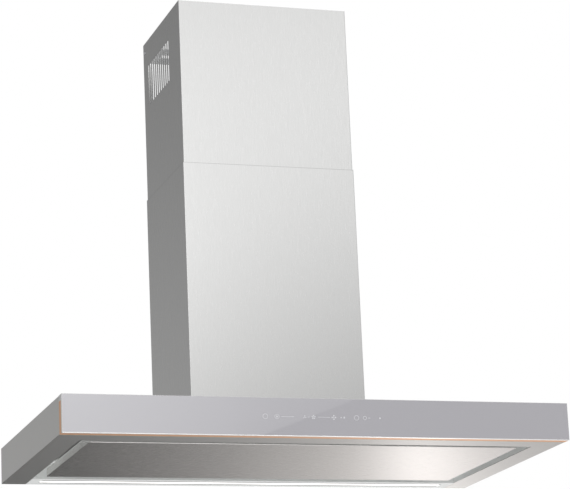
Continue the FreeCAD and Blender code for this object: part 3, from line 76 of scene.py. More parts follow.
class Finish:
    """One material under construction: its node tree, its shader and its coordinates."""

    def __init__(self, name, color, roughness, metallic=0.0):
        self.name = name
        self.material = bpy.data.materials.new(name)
        self.material.use_nodes = True
        self.tree = self.material.node_tree
        self.shader = self.tree.nodes["Principled BSDF"]
        self.color = (*color, 1.0)
        self.shader.inputs["Base Color"].default_value = self.color
        self.shader.inputs["Roughness"].default_value = roughness
        self.shader.inputs["Metallic"].default_value = metallic
        self.roughness = roughness
        self.place = self.node("ShaderNodeTexCoord").outputs["Object"]

    def node(self, kind, **settings):
        """A new node of the material's tree, with its settings."""
        made = self.tree.nodes.new(kind)
        for key, setting in settings.items():
            setattr(made, key, setting)
        return made

    def link(self, source, target):
        """A line from an output socket to an input socket."""
        self.tree.links.new(source, target)

    def noise(self, size, stretch=(1, 1, 1), detail=3.0):
        """Noise from 0 to 1 whose features are about size metres, longer where stretch is above 1."""
        mapping = self.node("ShaderNodeMapping")
        mapping.inputs["Scale"].default_value = [1.0 / (size * s) for s in stretch]
        texture = self.node("ShaderNodeTexNoise")
        texture.inputs["Scale"].default_value = 1.0
        texture.inputs["Detail"].default_value = detail
        self.link(self.place, mapping.inputs["Vector"])
        self.link(mapping.outputs["Vector"], texture.inputs["Vector"])
        return texture.outputs["Fac"]

    def range(self, source, low, high):
        """The source's middle stretch, spread over low to high."""
        spread = self.node("ShaderNodeMapRange")
        spread.inputs["From Min"].default_value = 0.3
        spread.inputs["From Max"].default_value = 0.7
        spread.inputs["To Min"].default_value = low
        spread.inputs["To Max"].default_value = high
        self.link(source, spread.inputs["Value"])
        return spread.outputs["Result"]

    def math(self, operation, first, second):
        """The operation on two values, each a socket or a plain number."""
        made = self.node("ShaderNodeMath", operation=operation)
        for socket, source in zip(made.inputs, (first, second)):
            if isinstance(source, (int, float)):
                socket.default_value = source
            else:
                self.link(source, socket)
        return made.outputs["Value"]

    def tint(self, factor, other):
        """Base colour between the finish's own colour and another one."""
        mix = self.node("ShaderNodeMix", data_type="RGBA")
        mix.inputs["A"].default_value = self.color
        mix.inputs["B"].default_value = (*other, 1.0)
        self.link(factor, mix.inputs["Factor"])
        self.link(mix.outputs["Result"], self.shader.inputs["Base Color"])

    def rough(self, factor, spread):
        """Roughness that wanders by spread either side of the finish's own."""
        value = self.range(factor, self.roughness - spread, self.roughness + spread)
        self.link(value, self.shader.inputs["Roughness"])

    def edges(self, width):
        """1 where an edge is, 0 on the flat: a normal rounded over width leaves the true one there."""
        rounded = self.node("ShaderNodeBevel", samples=4)
        rounded.inputs["Radius"].default_value = width
        true = self.node("ShaderNodeNewGeometry").outputs["Normal"]
        same = self.node("ShaderNodeVectorMath", operation="DOT_PRODUCT")
        self.link(rounded.outputs["Normal"], same.inputs[0])
        self.link(true, same.inputs[1])
        spread = self.node("ShaderNodeMapRange")
        spread.inputs["From Min"].default_value = FLAT_COSINE
        spread.inputs["From Max"].default_value = EDGE_COSINE
        self.link(same.outputs["Value"], spread.inputs["Value"])
        return spread.outputs["Result"]

    def wear_and_edge_highlight(self, width, factor):
        """Edges lighter in patches: partly rubbed bright by cloths and hands over some years, partly a
        painted highlight along the bends.
        """
        base = self.shader.inputs["Base Color"].links[0].from_socket
        patchy = self.range(self.noise(WORN_AND_HIGHLIT_PATCH), 0.4, 1.0)
        mix = self.node("ShaderNodeMix", data_type="RGBA")
        mix.inputs["B"].default_value = (*shade(self.color[:3], factor), 1.0)
        self.link(base, mix.inputs["A"])
        self.link(self.math("MULTIPLY", self.edges(width), patchy), mix.inputs["Factor"])
        self.link(mix.outputs["Result"], self.shader.inputs["Base Color"])

    def paint_joint_shade(self, top, width, factor):
        """Painted shade: darker over the last width below Z = top, along the joint where the upper cover
        goes in.
        """
        base = self.shader.inputs["Base Color"].links[0].from_socket
        place = self.node("ShaderNodeSeparateXYZ")
        self.link(self.place, place.inputs["Vector"])
        shaded_band = self.node("ShaderNodeMapRange")
        shaded_band.inputs["From Min"].default_value = top - width
        shaded_band.inputs["From Max"].default_value = top - 0.8 * width
        self.link(place.outputs["Z"], shaded_band.inputs["Value"])
        mix = self.node("ShaderNodeMix", data_type="RGBA")
        mix.inputs["B"].default_value = (*shade(self.color[:3], factor), 1.0)
        self.link(base, mix.inputs["A"])
        self.link(shaded_band.outputs["Result"], mix.inputs["Factor"])
        self.link(mix.outputs["Result"], self.shader.inputs["Base Color"])

    def bump(self, height, depth):
        """Relief: the surface seems to rise by depth where height is 1."""
        made = self.node("ShaderNodeBump")
        made.inputs["Distance"].default_value = depth
        made.inputs["Strength"].default_value = 1.0
        self.link(height, made.inputs["Height"])
        self.link(made.outputs["Normal"], self.shader.inputs["Normal"])


# %% [markdown]
# ## Brushed steel
# Sheet steel for hoods is rolled, then brushed one way with a fine belt. The scratches are hair
# thin and some centimetres long, so the noise is squeezed hard across the grain and left long
# along it. Two noises, one fine and one broad, keep the lines from looking printed. The lower
# chimney cover gets a finish of its own: the same steel, with painted shade, a dark band along its
# top edge where the upper cover goes in.


# %% Metal finishes
SCRATCH_DEPTH = 0.006 * MM
FLUE_STEEL = (0.63, 0.63, 0.625)


def brushed(name, color, roughness, grain, length=60, fine=0.35 * MM, contrast=0.955):
    """Brushed metal: grain is the axis letter that the belt ran along."""
    finish = Finish(name, color, roughness, 1.0)
    along = [length if axis == grain else 1 for axis in "xyz"]
    lines = finish.noise(fine, along, 4)
    cloud = finish.noise(0.6, (1, 1, 1), 1)
    mixed = finish.math("ADD", finish.math("MULTIPLY", lines, 0.75), finish.math("MULTIPLY", cloud, 0.25))
    finish.tint(finish.range(mixed, 0.0, 1.0), shade(color, contrast))
    finish.rough(lines, 0.04)
    finish.bump(lines, SCRATCH_DEPTH)
    return finish


def satin(name, color, roughness, metallic=1.0, size=2 * MM, contrast=0.92, depth=0.01 * MM):
    """Metal or paint with an even, slightly cloudy surface."""
    finish = Finish(name, color, roughness, metallic)
    cloud = finish.noise(size, (1, 1, 1), 4)
    finish.tint(finish.range(cloud, 0.0, 1.0), shade(color, contrast))
    finish.rough(cloud, 0.04)
    finish.bump(cloud, depth)
    return finish


def spangled(name, color, roughness, size=6 * MM, contrast=0.72):
    """Hot-dip galvanised sheet: zinc crystals, each of its own grey, from Voronoi cells."""
    finish = Finish(name, color, roughness, 1.0)
    cells = finish.node("ShaderNodeTexVoronoi")
    cells.inputs["Scale"].default_value = 1.0 / size
    finish.link(finish.place, cells.inputs["Vector"])
    crystal = finish.node("ShaderNodeSeparateColor")
    finish.link(cells.outputs["Color"], crystal.inputs["Color"])
    grey = finish.math("ADD", finish.math("MULTIPLY", crystal.outputs[0], 0.6), finish.noise(1 * MM))
    finish.tint(finish.range(grey, 0.0, 1.0), shade(color, contrast))
    finish.rough(grey, 0.08)
    return finish


metals = (
    brushed("flue_steel", FLUE_STEEL, 0.30, "z"),
    # the same steel; its band of painted shade along the top edge is added further down
    brushed("lower_flue_steel", FLUE_STEEL, 0.30, "z"),
    brushed("canopy_steel", (0.66, 0.655, 0.64), 0.32, "x"),
    satin("bar_steel", (0.95, 0.965, 0.955), 0.6, 0.3, size=0.5 * MM, contrast=0.97),
    brushed("panel_steel", (0.71, 0.695, 0.68), 0.27, "x"),
    spangled("galvanised_steel", (0.72, 0.73, 0.74), 0.45),
    brushed("rose_gold", (1.0, 0.60, 0.36), 0.42, "x", length=40),
    brushed("rail_aluminium", (0.90, 0.90, 0.90), 0.5, "x"),
    satin("hinge_steel", (0.60, 0.60, 0.60), 0.4),
    satin("pin_steel", (0.75, 0.75, 0.76), 0.18),
    satin("screw_steel", (0.70, 0.70, 0.72), 0.28, size=0.8 * MM),
    brushed("channel_aluminium", (0.80, 0.80, 0.81), 0.4, "x"),
    brushed("filter_aluminium", (0.78, 0.78, 0.79), 0.36, "x"),
    satin("filter_mesh", (0.78, 0.78, 0.79), 0.34, size=1.5 * MM),
    satin("motor_paint", (0.05, 0.05, 0.055), 0.45, 0.0, size=0.7 * MM, contrast=1.5),
)
finishes = {finish.name: finish for finish in metals}
print(len(finishes), "metal finishes")

# %% Wear and painted highlight on edges, and painted shade at a joint
# edges lighter: partly wear, partly a painted highlight along the bends
WORN_AND_HIGHLIT_WIDTH = 0.8 * MM
WORN_AND_HIGHLIT_SHINE = 1.25
# width and darkening of the painted shade band along the lower cover's top edge
SHADED_BAND_WIDTH = 1.2 * MM
SHADED_BAND_FACTOR = 0.74
EDGES_WORN_AND_HIGHLIT = ("flue_steel", "lower_flue_steel", "canopy_steel", "panel_steel", "bar_steel", "rose_gold")
for name in EDGES_WORN_AND_HIGHLIT:
    finishes[name].wear_and_edge_highlight(WORN_AND_HIGHLIT_WIDTH, WORN_AND_HIGHLIT_SHINE)
# the lower cover's top edge gets a band of painted shade, where the upper cover goes in
cover_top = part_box("lower_flue_cover")[1].z
finishes["lower_flue_steel"].paint_joint_shade(cover_top, SHADED_BAND_WIDTH, SHADED_BAND_FACTOR)
print("lower cover ends at", round(cover_top, 4), "m")


# %% [markdown]
# ## Glass, plastic, print and light
# The front is clear glass painted grey on its back. One shader does both: an opaque grey base for
# the paint and a strong clear coat for the polished face, so that lamps show in it as in a mirror.
# Plastics get a fine moulded texture. The frosted window gives light of its own along its middle.


# %% Other finishes
FRONT_NORMAL = -0.95  # Y of the normal on the polished face; it is more than EDGE_NORMAL elsewhere
EDGE_NORMAL = -0.8
COAT_ROUGHNESS = 0.012
COAT_IOR = 2.6


def coated_glass(name, color, edge_highlight_color):
    """Back-painted glass. Faces that don't look forward, the edge, are near white: a painted highlight on
    the polished edge.
    """
    finish = Finish(name, color, 0.5)
    facing = finish.node("ShaderNodeSeparateXYZ")
    finish.link(finish.node("ShaderNodeNewGeometry").outputs["Normal"], facing.inputs["Vector"])
    edge = finish.node("ShaderNodeMapRange")
    edge.inputs["From Min"].default_value = FRONT_NORMAL
    edge.inputs["From Max"].default_value = EDGE_NORMAL
    finish.link(facing.outputs["Y"], edge.inputs["Value"])
    # painted highlight: the edge faces turn near white
    finish.tint(edge.outputs["Result"], edge_highlight_color)
    finish.rough(finish.noise(3 * MM, (1, 1, 1), 3), 0.02)
    finish.shader.inputs["Coat Weight"].default_value = 1.0
    finish.shader.inputs["Coat Roughness"].default_value = COAT_ROUGHNESS
    finish.shader.inputs["Coat IOR"].default_value = COAT_IOR
    return finish


def moulded(name, color, roughness=0.5, size=0.5 * MM, contrast=1.25, depth=0.03 * MM):
    """Plastic from a mould with a fine spark-eroded texture."""
    finish = Finish(name, color, roughness)
    grain = finish.noise(size, (1, 1, 1), 2)
    broad = finish.noise(30 * MM, (1, 1, 1), 2)
    finish.tint(finish.range(broad, 0.0, 1.0), shade(color, contrast))
    finish.rough(grain, 0.06)
    finish.bump(grain, depth)
    return finish


def lit(name, color, strength, middle, half, soft):
    """A frosted strip that glows within half of its middle line, at Y = middle.

    Glow = 1 where |y - middle| is below half - soft, 0 above half + soft, smooth between. Where it doesn't
    glow, the colour is dark grey: painted shade on the strip's borders.
    """
    finish = Finish(name, color, 0.5)
    place = finish.node("ShaderNodeSeparateXYZ")
    finish.link(finish.place, place.inputs["Vector"])
    away = finish.math("ABSOLUTE", finish.math("SUBTRACT", place.outputs["Y"], middle), 0.0)
    glow = finish.node("ShaderNodeMapRange", interpolation_type="SMOOTHSTEP")
    glow.inputs["From Min"].default_value = half + soft
    glow.inputs["From Max"].default_value = half - soft
    finish.link(away, glow.inputs["Value"])
    uneven = finish.range(finish.noise(20 * MM), 0.96 * strength, strength)
    power = finish.math("MULTIPLY", glow.outputs["Result"], uneven)
    finish.link(power, finish.shader.inputs["Emission Strength"])
    finish.shader.inputs["Emission Color"].default_value = (1.0, 0.985, 0.96, 1.0)
    # near white where it glows; outside, the dark grey is painted shade on the strip's borders
    finish.tint(glow.outputs["Result"], (0.95, 0.95, 0.95))
    finish.rough(finish.noise(1 * MM), 0.05)
    return finish


strip_low, strip_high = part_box("led_diffuser")
strip_middle = (strip_low.y + strip_high.y) / 2
GLOW_HALF_WIDTH = 7.5 * MM
GLOW_SOFTNESS = 1 * MM
others = (
    # the last colour is the painted highlight on the glass edge
    coated_glass("grey_glass", (0.495, 0.483, 0.525), (0.97, 0.97, 0.97)),
    moulded("icon_print", (0.85, 0.85, 0.88), 0.5, contrast=0.96),
    # its dark grey is painted shade on the strip's borders
    lit("frosted_diffuser", (0.10, 0.105, 0.10), 1.2, strip_middle, GLOW_HALF_WIDTH, GLOW_SOFTNESS),
    moulded("led_board_white", (0.9, 0.9, 0.87), 0.4, contrast=0.95),
    moulded("circuit_board", (0.02, 0.16, 0.07), 0.35),
    moulded("magnet_black", (0.03, 0.03, 0.03), 0.5),
    moulded("latch_plastic", (0.05, 0.05, 0.052), 0.45),
    moulded("box_plastic", (0.09, 0.09, 0.095), 0.5),
    moulded("driver_plastic", (0.82, 0.82, 0.80), 0.45, contrast=0.95),
    moulded("gland_nylon", (0.06, 0.06, 0.06), 0.4),
    moulded("ring_plastic", (0.10, 0.10, 0.105), 0.5),
    moulded("impeller_plastic", (0.14, 0.14, 0.15), 0.45),
    moulded("flap_plastic", (0.06, 0.06, 0.06), 0.5),
)
finishes.update({finish.name: finish for finish in others})
print(len(finishes), "finishes in all")

# %% Give each node the finish of its slot
slot_of = {entry["node"]: entry["material_slot"] for entry in frame["record"]["subparts"]}
for name, item in nodes.items():
    item.data.materials.clear()
    item.data.materials.append(finishes[slot_of[name]].material)
# the lower cover wears the steel with painted shade along its top edge
nodes["lower_flue_cover"].data.materials[0] = finishes["lower_flue_steel"].material
print("finished", len(nodes), "nodes")

# %% [markdown]
# ## Adding a piece
# A new piece is an array of points and a list of faces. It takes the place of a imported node, so it
# rides on that node's body and wears the finish of that node's slot.

# %% A piece from points and faces
def add_piece(name, points, faces, body, node):
    """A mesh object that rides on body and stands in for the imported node."""
    mesh = bpy.data.meshes.new(name)
    mesh.from_pydata(points.reshape(-1, 3).tolist(), [], faces)
    mesh.materials.append(finishes[slot_of[node]].material)
    piece = bpy.data.objects.new(name, mesh)
    bpy.context.scene.collection.objects.link(piece)
    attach(piece, body)
    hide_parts(node)
    print(name, len(mesh.vertices), "points", sum(len(face) - 2 for face in faces), "triangles")


def tube_faces(rows, turns, start=0):
    """Faces of a closed tube of points [row][turn]: quads round it and one flat cap at each end."""
    index = start + np.arange(rows * turns).reshape(rows, turns)
    following = np.roll(index, -1, axis=1)
    quads = np.stack([index[:-1], index[1:], following[1:], following[:-1]], axis=-1)
    return quads.reshape(-1, 4).tolist() + [index[0].tolist(), index[-1, ::-1].tolist()]


# %% [markdown]
# ## Screws
# Every screw here is the same sheet-metal screw: a low domed head with a cross recess, and a coarse
# thread that cuts its own way into the steel. It could be a turned profile with the cross cut out
# by a boolean, but a boolean leaves long thin faces. Instead the whole screw is one tube of
# points, given by a row down its side and an angle round it, and both the cross and the thread are
# just added to that surface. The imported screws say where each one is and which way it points.

# %% The shape of one screw
HEAD_HEIGHT = 1.8 * MM
THREAD_PITCH = 1.3 * MM
THREAD_DEPTH = 0.45 * MM
RECESS_DEPTH = 1.1 * MM
ARM_LENGTH = 2.0 * MM
ARM_WIDTH = 0.38 * MM
SHANK_RADIUS = 1.75 * MM
SCREW_TURNS = 48
HEAD_ROWS = 22
DOME_REACH = 0.86  # of the head's radius: the dome ends there and the rim begins
DOME_DROP = 0.28  # of the head's height, at the rim if the dome went on
RIM_RADII = [0.95, 0.99, 1.0, 1.0, 0.97]
RIM_DROPS = [0.30, 0.40, 0.55, 0.9, 1.0]


def soft_step(value, edge, blur):
    """1 well below edge and 0 well above it, with a smooth slope blur wide between."""
    part = np.clip((edge + blur / 2 - value) / blur, 0, 1)
    return part * part * (3 - 2 * part)


def screw_points(length, head_radius):
    """Points [row][turn] of a screw whose head's top is at 0 and whose tip is at -length.

    Head: radius grows from 0 to its own and the top falls as the radius squared, less the cross,
    which is two crossed bars that get shallower away from the middle.
    Shank: radius = core + thread depth x (a raised cosine of angle - height / pitch) squared, and
    both shrink to a point over the last stretch.
    """
    angle = np.linspace(0, 2 * np.pi, SCREW_TURNS, endpoint=False)
    dome = np.linspace(0.02, DOME_REACH, HEAD_ROWS)
    ring = np.concatenate([dome, RIM_RADII]) * head_radius
    drop = np.concatenate([DOME_DROP * dome**2, RIM_DROPS])
    x, y = ring[:, None] * np.cos(angle), ring[:, None] * np.sin(angle)
    arm = np.maximum(
        soft_step(abs(x), ARM_WIDTH, 0.2 * MM) * soft_step(abs(y), ARM_LENGTH, 0.3 * MM),
        soft_step(abs(y), ARM_WIDTH, 0.2 * MM) * soft_step(abs(x), ARM_LENGTH, 0.3 * MM),
    )
    slope = 1 - 0.6 * np.hypot(x, y) / ARM_LENGTH
    head = np.stack([x, y, -drop[:, None] * HEAD_HEIGHT - arm * RECESS_DEPTH * np.clip(slope, 0, 1)], -1)
    steps = int((length - HEAD_HEIGHT) / THREAD_PITCH * 8)
    height = np.linspace(-HEAD_HEIGHT, -length, steps)[:, None]
    ridge = (0.5 + 0.5 * np.cos(angle - 2 * np.pi * height / THREAD_PITCH)) ** 2
    taper = np.clip((height + length) / (2 * MM), 0.06, 1.0)
    radius = (SHANK_RADIUS - THREAD_DEPTH + THREAD_DEPTH * ridge) * taper
    shank = np.stack([radius * np.cos(angle), radius * np.sin(angle), height + 0 * angle], -1)
    return np.concatenate([head, shank])


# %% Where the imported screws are
def lone_groups(points, apart):
    """The points, split wherever a gap along X, Y or Z is wider than apart."""
    groups = [points]
    for axis in range(3):
        pieces = []
        for group in groups:
            ordered = group[np.argsort(group[:, axis])]
            gaps = np.flatnonzero(np.diff(ordered[:, axis]) > apart)
            pieces += np.split(ordered, gaps + 1)
        groups = pieces
    return groups


def screw_stance(points):
    """Top of the head, direction out of the head, length and head radius of one packed screw."""
    low, high = points.min(0), points.max(0)
    middle, size = (low + high) / 2, high - low
    axis = int(np.argmax(size))
    from_axis = np.linalg.norm(np.delete(points - middle, axis, axis=1), axis=1)
    rim = points[from_axis > 0.9 * from_axis.max(), axis].mean()
    out = np.zeros(3)
    out[axis] = np.sign(rim - middle[axis])
    return middle + out * size[axis] / 2, out, size[axis], from_axis.max()


def placed_screw(points):
    """One screw's points, stood where a packed screw is: top + x side + y other side + z out."""
    top, out, length, head_radius = screw_stance(points)
    side = np.roll(out, 1)
    other = np.cross(out, side)
    shape = screw_points(length, head_radius)
    return top + shape @ np.stack([side, other, out])


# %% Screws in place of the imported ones
SCREW_SPACING = 12 * MM  # the screws of one node are further apart than this
bodies_of_screws = {
    "carrier_screws": "hood",
    "blower_box_screws": "hood",
    "lower_flue_screws": "hood",
    "flue_bracket_screws": "upper_chimney",
}
for node, body in bodies_of_screws.items():
    packed = np.array([vertex.co for vertex in nodes[node].data.vertices])
    screws = [placed_screw(group) for group in lone_groups(packed, SCREW_SPACING)]
    rows = len(screws[0])
    count = rows * SCREW_TURNS
    faces = [face for i in range(len(screws)) for face in tube_faces(rows, SCREW_TURNS, i * count)]
    add_piece(node.replace("screws", "cross_screws"), np.concatenate(screws), faces, body, node)


# %% [markdown]
# ## Expanded filter mesh
# A grease filter is a pad of expanded aluminium: foil slit in rows and pulled, so that the strands
# between the slits open into diamonds. A hexagon pattern cut out of a plate would look flat. Each
# row is one strand instead, bent into a zigzag that touches the next row at its peaks, with a flat
# at each peak where the two are still one piece. Three layers, the middle one crosswise, make it
# dense enough for grease to catch.

# %% One layer of expanded mesh
STRAND_WIDTH = 1.1 * MM
STRAND_THICKNESS = 0.45 * MM
STRAND_TILT = math.radians(38)
BOND = 0.28  # of half a cell: the flat where two rows are one piece
# Each layer's cell along and across its strands, its height as a share of the pad, and if it is crosswise.
LAYERS = (
    (15 * MM, 8 * MM, -0.36, False),
    (13 * MM, 9 * MM, 0.0, True),
    (14 * MM, 7 * MM, 0.36, False),
)


def mesh_layer(size, long_way, short_way, height, quarter_turn):
    """Points [strand][step][corner] of a layer of diamonds centred on the origin.

    Along a strand x goes up by half a cell a peak, and y = row middle -+ half a row, with the sign
    changing at each peak and each row. The section is a small rectangle tilted about the strand.
    """
    across, deep = size[::-1] if quarter_turn else size
    half, row = long_way / 2, short_way / 2
    peaks = np.arange(int(across / half))
    strands = np.arange(int((deep - STRAND_WIDTH) / row))
    middle = (peaks - (len(peaks) - 1) / 2) * half
    x = (middle[:, None] + np.array([-0.5, 0.5]) * BOND * half).ravel()
    sign = np.repeat((-1.0) ** peaks, 2) * ((-1.0) ** strands)[:, None]
    y = (strands[:, None] - (len(strands) - 1) / 2) * row - sign * row / 2
    cosine, sine = math.cos(STRAND_TILT), math.sin(STRAND_TILT)
    tilt = np.array([(cosine, sine), (-sine, cosine)])
    flat = np.array([(-1, -1), (1, -1), (1, 1), (-1, 1)]) / 2 * (STRAND_WIDTH, STRAND_THICKNESS)
    section = flat @ tilt
    points = np.zeros((len(strands), len(x), 4, 3))
    points[..., 0] = x[:, None]
    points[..., 1] = y[..., None] + section[:, 0]
    points[..., 2] = height + section[:, 1]
    if quarter_turn:
        points = points[..., [1, 0, 2]] * (-1, 1, 1)
    return points


# %% Both filter pads
for side in ("left", "right"):
    node = f"filter_mesh_{side}"
    low, high = (np.array(corner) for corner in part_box(node))
    size, centre = high - low, (low + high) / 2
    layers = [
        mesh_layer(size[:2], long_way, short_way, share * size[2], crosswise)
        for long_way, short_way, share, crosswise in LAYERS
    ]
    faces, start = [], 0
    for layer in layers:
        strands, steps = layer.shape[:2]
        for strand in range(strands):
            faces += tube_faces(steps, 4, start)
            start += steps * 4
    points = np.concatenate([layer.reshape(-1, 3) for layer in layers]) + centre
    add_piece(f"filter_expanded_mesh_{side}", points, faces, "hood", node)

# %% [markdown]
# ## Camera
# The hood is seen from the left and from below, as by someone standing at the cooker. The lens is
# long, so the perspective is mild. Yaw, pitch and roll are turned into a matrix whose columns are
# the camera's right, up and backward directions.

# %% Camera
YAW = math.radians(17.968)
PITCH = math.radians(14.598)
ROLL = math.radians(-2.483)
LENS_MM = 163.3
CAMERA_PLACE = (-1.37178, -4.56664, -0.78115)

forward = Vector((math.sin(YAW) * math.cos(PITCH), math.cos(YAW) * math.cos(PITCH), math.sin(PITCH)))
level = Vector((math.cos(YAW), -math.sin(YAW), 0.0))
upright = level.cross(forward)
right = level * math.cos(ROLL) + upright * math.sin(ROLL)
up = right.cross(forward)
turn = Matrix((right, up, -forward)).transposed().to_4x4()

camera = bpy.data.objects.new("camera", bpy.data.cameras.new("camera"))
camera.data.lens = LENS_MM
camera.matrix_world = Matrix.Translation(CAMERA_PLACE) @ turn
bpy.context.scene.collection.objects.link(camera)
bpy.context.scene.camera = camera
print("camera looks along", [round(c, 3) for c in forward])

# %% [markdown]
# ## Studio
# Bare metal shows what stands around it, so the studio matters more than the lamps' strength. The
# world gives a soft grey that is brighter in front of the hood than behind it. Each softbox is a
# card that glows more on one side than on the other, which a plain lamp can't do: its UV map runs
# across and up the card, and two colour ramps along it multiply into the card's brightness. The
# glow is added to whatever is behind the card, so its edges can fade into the grey.

# %% World
scene = bpy.context.scene
scene.view_settings.view_transform = "Standard"
FRONT_GREY = 0.55
BACK_LOW_GREY = 0.0
BACK_GREY = 0.50
BACK_HIGH_GREY = 0.25

world = bpy.data.worlds.new("studio")
scene.world = world
world.use_nodes = True
tree = world.node_tree
background = tree.nodes["Background"]
background.inputs["Color"].default_value = (1, 1, 1, 1)
direction = tree.nodes.new("ShaderNodeTexCoord").outputs["Generated"]
split = tree.nodes.new("ShaderNodeSeparateXYZ")
tree.links.new(direction, split.inputs["Vector"])


def smooth_range(source, low, high, start, end):
    """A smooth step of the world's strength between two values of one direction component."""
    ramp = tree.nodes.new("ShaderNodeMapRange")
    ramp.interpolation_type = "SMOOTHSTEP"
    ramp.inputs["From Min"].default_value = low
    ramp.inputs["From Max"].default_value = high
    ramp.inputs["To Min"].default_value = start
    ramp.inputs["To Max"].default_value = end
    tree.links.new(source, ramp.inputs["Value"])
    return ramp.outputs["Result"]


def mixed(factor, first, second):
    """first where factor is 0 and second where it is 1, each a socket or a plain number."""
    made = tree.nodes.new("ShaderNodeMix")
    for socket, source in zip(made.inputs[:1] + made.inputs[2:4], (factor, first, second)):
        if isinstance(source, float):
            socket.default_value = source
        else:
            tree.links.new(source, socket)
    return made.outputs[0]


upper = smooth_range(split.outputs["Z"], 0.1, 0.4, BACK_GREY, BACK_HIGH_GREY)
behind = mixed(smooth_range(split.outputs["Z"], -0.12, 0.08, 0.0, 1.0), BACK_LOW_GREY, upper)
backward = smooth_range(split.outputs["Y"], -0.5, 0.6, 0.0, 1.0)
seen = tree.nodes.new("ShaderNodeLightPath").outputs["Is Camera Ray"]
tree.links.new(mixed(seen, mixed(backward, FRONT_GREY, behind), 1.0), background.inputs["Strength"])
print("world greys:", FRONT_GREY, BACK_LOW_GREY, BACK_GREY, BACK_HIGH_GREY)


# %% Glowing cards
def glow_ramp(tree, source, stops):
    """A colour ramp through (place, brightness) stops, with places from 0 to 1."""
    ramp = tree.nodes.new("ShaderNodeValToRGB")
    ramp.color_ramp.interpolation = "B_SPLINE"
    elements = ramp.color_ramp.elements
    while len(elements) < len(stops):
        elements.new(0.5)
    for element, (place, glow) in zip(elements, stops):
        element.position = place
        element.color = (glow, glow, glow, 1)
    tree.links.new(source, ramp.inputs["Fac"])
    return ramp.outputs["Color"]


def times(tree, first, second):
    """first x second, channel by channel; second is a socket or three plain numbers."""
    product = tree.nodes.new("ShaderNodeVectorMath")
    product.operation = "MULTIPLY"
    tree.links.new(first, product.inputs[0])
    if isinstance(second, tuple):
        product.inputs[1].default_value = second
    else:
        tree.links.new(second, product.inputs[1])
    return product.outputs["Vector"]


def card(name, centre, across, upward, radiance, u_stops, v_stops, tint=(1.0, 1.0, 1.0)):
    """A flat card: centre + (u - 1/2) across + (v - 1/2) upward, which glows towards across x upward."""
    centre, across, upward = (np.array(vector, float) for vector in (centre, across, upward))
    ends = np.array([(-0.5, -0.5), (0.5, -0.5), (0.5, 0.5), (-0.5, 0.5)])
    mesh = bpy.data.meshes.new(name)
    mesh.from_pydata((centre + ends[:, :1] * across + ends[:, 1:] * upward).tolist(), [], [(0, 1, 2, 3)])
    mesh.uv_layers.new(name="card").data.foreach_set("uv", (ends + 0.5).ravel())
    material = bpy.data.materials.new(name)
    material.use_nodes = True
    tree = material.node_tree
    tree.nodes.clear()
    split = tree.nodes.new("ShaderNodeSeparateXYZ")
    tree.links.new(tree.nodes.new("ShaderNodeTexCoord").outputs["UV"], split.inputs["Vector"])
    across_glow = glow_ramp(tree, split.outputs["X"], u_stops)
    upward_glow = glow_ramp(tree, split.outputs["Y"], v_stops)
    power = tree.nodes.new("ShaderNodeMath")
    power.operation = "MULTIPLY_ADD"
    power.inputs[1].default_value = -radiance
    power.inputs[2].default_value = radiance
    tree.links.new(tree.nodes.new("ShaderNodeNewGeometry").outputs["Backfacing"], power.inputs[0])
    glow = tree.nodes.new("ShaderNodeEmission")
    tree.links.new(times(tree, times(tree, across_glow, upward_glow), tint), glow.inputs["Color"])
    tree.links.new(power.outputs["Value"], glow.inputs["Strength"])
    added = tree.nodes.new("ShaderNodeAddShader")
    tree.links.new(glow.outputs["Emission"], added.inputs[0])
    tree.links.new(tree.nodes.new("ShaderNodeBsdfTransparent").outputs["BSDF"], added.inputs[1])
    output = tree.nodes.new("ShaderNodeOutputMaterial")
    tree.links.new(added.outputs["Shader"], output.inputs["Surface"])
    mesh.materials.append(material)
    made = bpy.data.objects.new(name, mesh)
    made.visible_camera = False
    made.visible_shadow = False
    scene.collection.objects.link(made)
    print(name, "glows at up to", radiance)


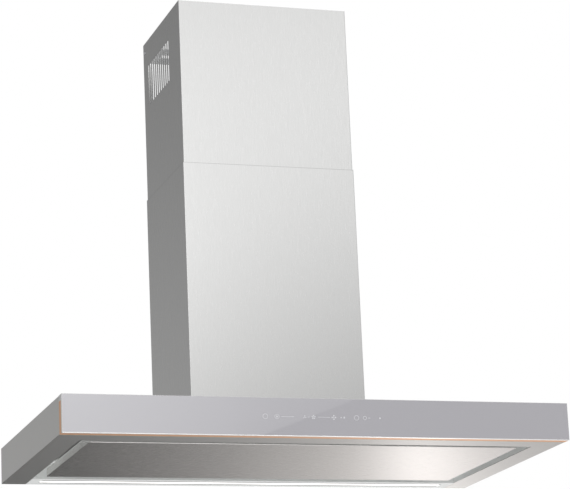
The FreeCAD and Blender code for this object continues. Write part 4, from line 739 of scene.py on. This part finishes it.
EDGE = np.array((0.795, -3.0, 0.529))
EDGE_SLOPE = math.radians(21.0)
along_edge = np.array((math.cos(EDGE_SLOPE), 0, math.sin(EDGE_SLOPE)))
from_edge = np.array((-math.sin(EDGE_SLOPE), 0, math.cos(EDGE_SLOPE)))
FRONT_SIZE = (3.4, 2.4)
FRONT_ACROSS = [(0.0, 0.42), (0.3, 0.44), (0.4, 0.41), (0.5, 0.35), (0.56, 0.62), (0.67, 0.98), (1.0, 0.98)]
FRONT_UPWARD = [
    (0.0, 0.2),
    (0.023, 0.29),
    (0.06, 0.36),
    (0.1, 0.39),
    (0.13, 0.46),
    (0.19, 0.58),
    (0.28, 1.0),
    (0.4, 0.93),
    (0.5, 0.80),
    (1.0, 0.36),
]
front_centre = EDGE + from_edge * FRONT_SIZE[1] / 2
front_across, front_upward = -along_edge * FRONT_SIZE[0], from_edge * FRONT_SIZE[1]
card("front_card", front_centre, front_across, front_upward, 2.2, FRONT_ACROSS, FRONT_UPWARD)

# %% Cards under and behind
LOW_GLOW = [
    (0.0, 0.0),
    (0.12, 0.0),
    (0.24, 0.10),
    (0.37, 0.30),
    (0.47, 0.55),
    (0.54, 0.70),
    (0.58, 0.82),
    (0.62, 1.0),
    (0.66, 1.0),
    (0.71, 0.97),
    (0.78, 0.86),
    (1.0, 0.6),
]
WARM = (1.0, 0.96, 0.94)
FADE = [(0.0, 0.0), (0.2, 1.0), (0.48, 1.0), (0.58, 0.85), (0.8, 0.68), (1.0, 0.0)]
card("low_card", (0.5, 1.0, -0.25), (1.8, 0, 0), (0, 0, 0.6), 1.1, LOW_GLOW, FADE, WARM)

SPOT = [(0.0, 0.0), (0.25, 0.1), (0.5, 1.0), (0.75, 0.1), (1.0, 0.0)]
card("spot_card", (0.735, 0.98, -0.32), (0.5, 0, 0), (0, 0, 0.28), 3.3, SPOT, SPOT, WARM)

EVEN = [(0.0, 0.6), (0.5, 1.0), (1.0, 0.6)]
card("floor_card", (0.0, -0.5, -2.2), (1.8, 0, 0), (0, 1.4, 0), 3.4, EVEN, EVEN)

# %% Floor
FLOOR_SIZE = 40.0
FLOOR_Z = -8.0
FLOOR_GLOW = 0.2
reach = FLOOR_SIZE / 2
floor_mesh = bpy.data.meshes.new("floor")
floor_corners = [(x * reach, y * reach, FLOOR_Z) for x, y in ((-1, -1), (1, -1), (1, 1), (-1, 1))]
floor_mesh.from_pydata(floor_corners, [], [(0, 1, 2, 3)])
floor = bpy.data.objects.new("floor", floor_mesh)
floor_finish = moulded("floor_paint", (0.85, 0.85, 0.85), 0.8, size=0.5, contrast=0.99)
floor_finish.shader.inputs["Emission Color"].default_value = (1, 1, 1, 1)
floor_finish.shader.inputs["Emission Strength"].default_value = FLOOR_GLOW
floor_mesh.materials.append(floor_finish.material)
scene.collection.objects.link(floor)
print("floor at", FLOOR_Z, "m")
